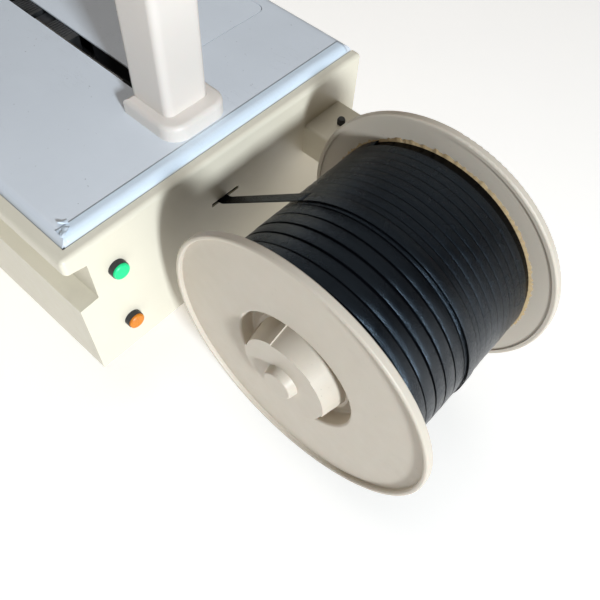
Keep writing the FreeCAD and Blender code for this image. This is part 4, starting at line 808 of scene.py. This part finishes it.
def dress_dials():
    """A pointer on each dial and a scale of ticks round it."""
    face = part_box("control_housing")[0].y
    for node, body in (("tension_dial", "tension_control"), ("heat_dial", "heat_control")):
        low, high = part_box(node)
        middle = (low + high) / 2
        radius = (high.x - low.x) / 2
        name = node + "_pointer"
        spot = Vector((middle.x, low.y, middle.z + radius * 0.45))
        pointer = rounded_bar(name, spot, radius * 0.34, POINTER_HALF_WIDTH, POINTER_RISE, math.pi / 2)
        piece(name, pointer, body, "mark", "dial_plastic")
        for step in range(TICKS):
            name = f"{node}_tick_{step}"
            angle = math.radians(90 - TICK_STEP * step)
            reach = radius + TICK_GAP
            spot = Vector((middle.x + reach * math.cos(angle), face, middle.z + reach * math.sin(angle)))
            tick = rounded_bar(name, spot, TICK_HALF_LENGTH, TICK_HALF_WIDTH, TICK_RISE, angle)
            piece(name, tick, "machine", "mark", "black_plastic")


# ---------------------------------------------------------------- stage

# Each light's name, place, size, watts and colour.  The key light stands where the reel's shadow on the
# end panel says it does.
LIGHTS = (
    ("key", (3.45, -1.14, 1.80), 0.45, 152.0, (0.84, 0.92, 1.0)),
    ("top", (-0.5, 0.3, 3.2), 3.0, 31.0, (1.0, 0.99, 0.98)),
)
LIGHT_TARGET = Vector((0.3, -0.1, 0.25))
WORLD_COLOUR = (1.0, 0.88, 0.74, 1.0)
WORLD_STRENGTH = 0.05
FLOOR_COLOUR = (0.95, 0.92, 0.88)
FLOOR_GLOW = 0.35
FLOOR_HALF = 8.0


def soft_light(name, spot, size, watts, colour):
    """A square panel light that faces the target."""
    lamp = bpy.data.lights.new(name, "AREA")
    lamp.shape = "RECTANGLE"
    lamp.size, lamp.size_y = size, size
    lamp.energy = watts
    lamp.color = colour
    item = bpy.data.objects.new(name, lamp)
    bpy.context.scene.collection.objects.link(item)
    item.location = spot
    item.rotation_euler = (LIGHT_TARGET - Vector(spot)).to_track_quat("-Z", "Y").to_euler()


def pale_floor():
    """A wide white floor that glows a little, as a lit studio sweep does."""
    mesh = bmesh.new()
    bmesh.ops.create_grid(mesh, x_segments=8, y_segments=8, size=FLOOR_HALF)
    data = bpy.data.meshes.new("floor")
    mesh.to_mesh(data)
    mesh.free()
    item = bpy.data.objects.new("floor", data)
    bpy.context.scene.collection.objects.link(item)
    graph = Graph("floor_white")
    base = speckled(graph, FLOOR_COLOUR, 0.01, 2.0)
    graph.link(base, graph.shader.inputs["Emission Color"])
    graph.set(roughness=0.9, emission_strength=FLOOR_GLOW)
    data.materials.append(graph.finish(base))


def studio():
    """A dim warm world and the two lights."""
    world = bpy.data.worlds.new("studio")
    bpy.context.scene.world = world
    world.use_nodes = True
    background = world.node_tree.nodes["Background"]
    background.inputs["Color"].default_value = WORLD_COLOUR
    background.inputs["Strength"].default_value = WORLD_STRENGTH
    for light in LIGHTS:
        soft_light(*light)
    bpy.context.scene.view_settings.view_transform = "Standard"


# The view: where the eye is, the way it looks and how far it is rolled.
EYE = Vector((0.64065, -0.32840, 0.72383))
AZIMUTH, ELEVATION, ROLL = math.radians(38.06), math.radians(56.65), math.radians(4.74)
LENS = 39.43
SENSOR = 36.0


def camera():
    """The picture's own view."""
    flat = math.cos(ELEVATION)
    back = Vector((math.sin(AZIMUTH) * flat, -math.cos(AZIMUTH) * flat, math.sin(ELEVATION)))
    right = (-back).cross(Vector((0.0, 0.0, 1.0))).normalized()
    up = right.cross(-back)
    turned_right = right * math.cos(ROLL) + up * math.sin(ROLL)
    turned_up = up * math.cos(ROLL) - right * math.sin(ROLL)
    lens = bpy.data.cameras.new("view")
    lens.lens = LENS
    lens.sensor_width = SENSOR
    item = bpy.data.objects.new("view", lens)
    bpy.context.scene.collection.objects.link(item)
    axes = Matrix((turned_right, turned_up, back)).transposed().to_4x4()
    item.matrix_world = Matrix.Translation(EYE) @ axes
    bpy.context.scene.camera = item


camera()
studio()
pale_floor()
dress_nodes()
soften_edges(["hub_nut"], 1.4 * MM, 3)
soften_edges(["reel_bracket", "bracket_knob", "button_bodies", "tension_dial", "heat_dial"], 0.5 * MM, 2)
dress_strap()
dress_film()
dress_dials()
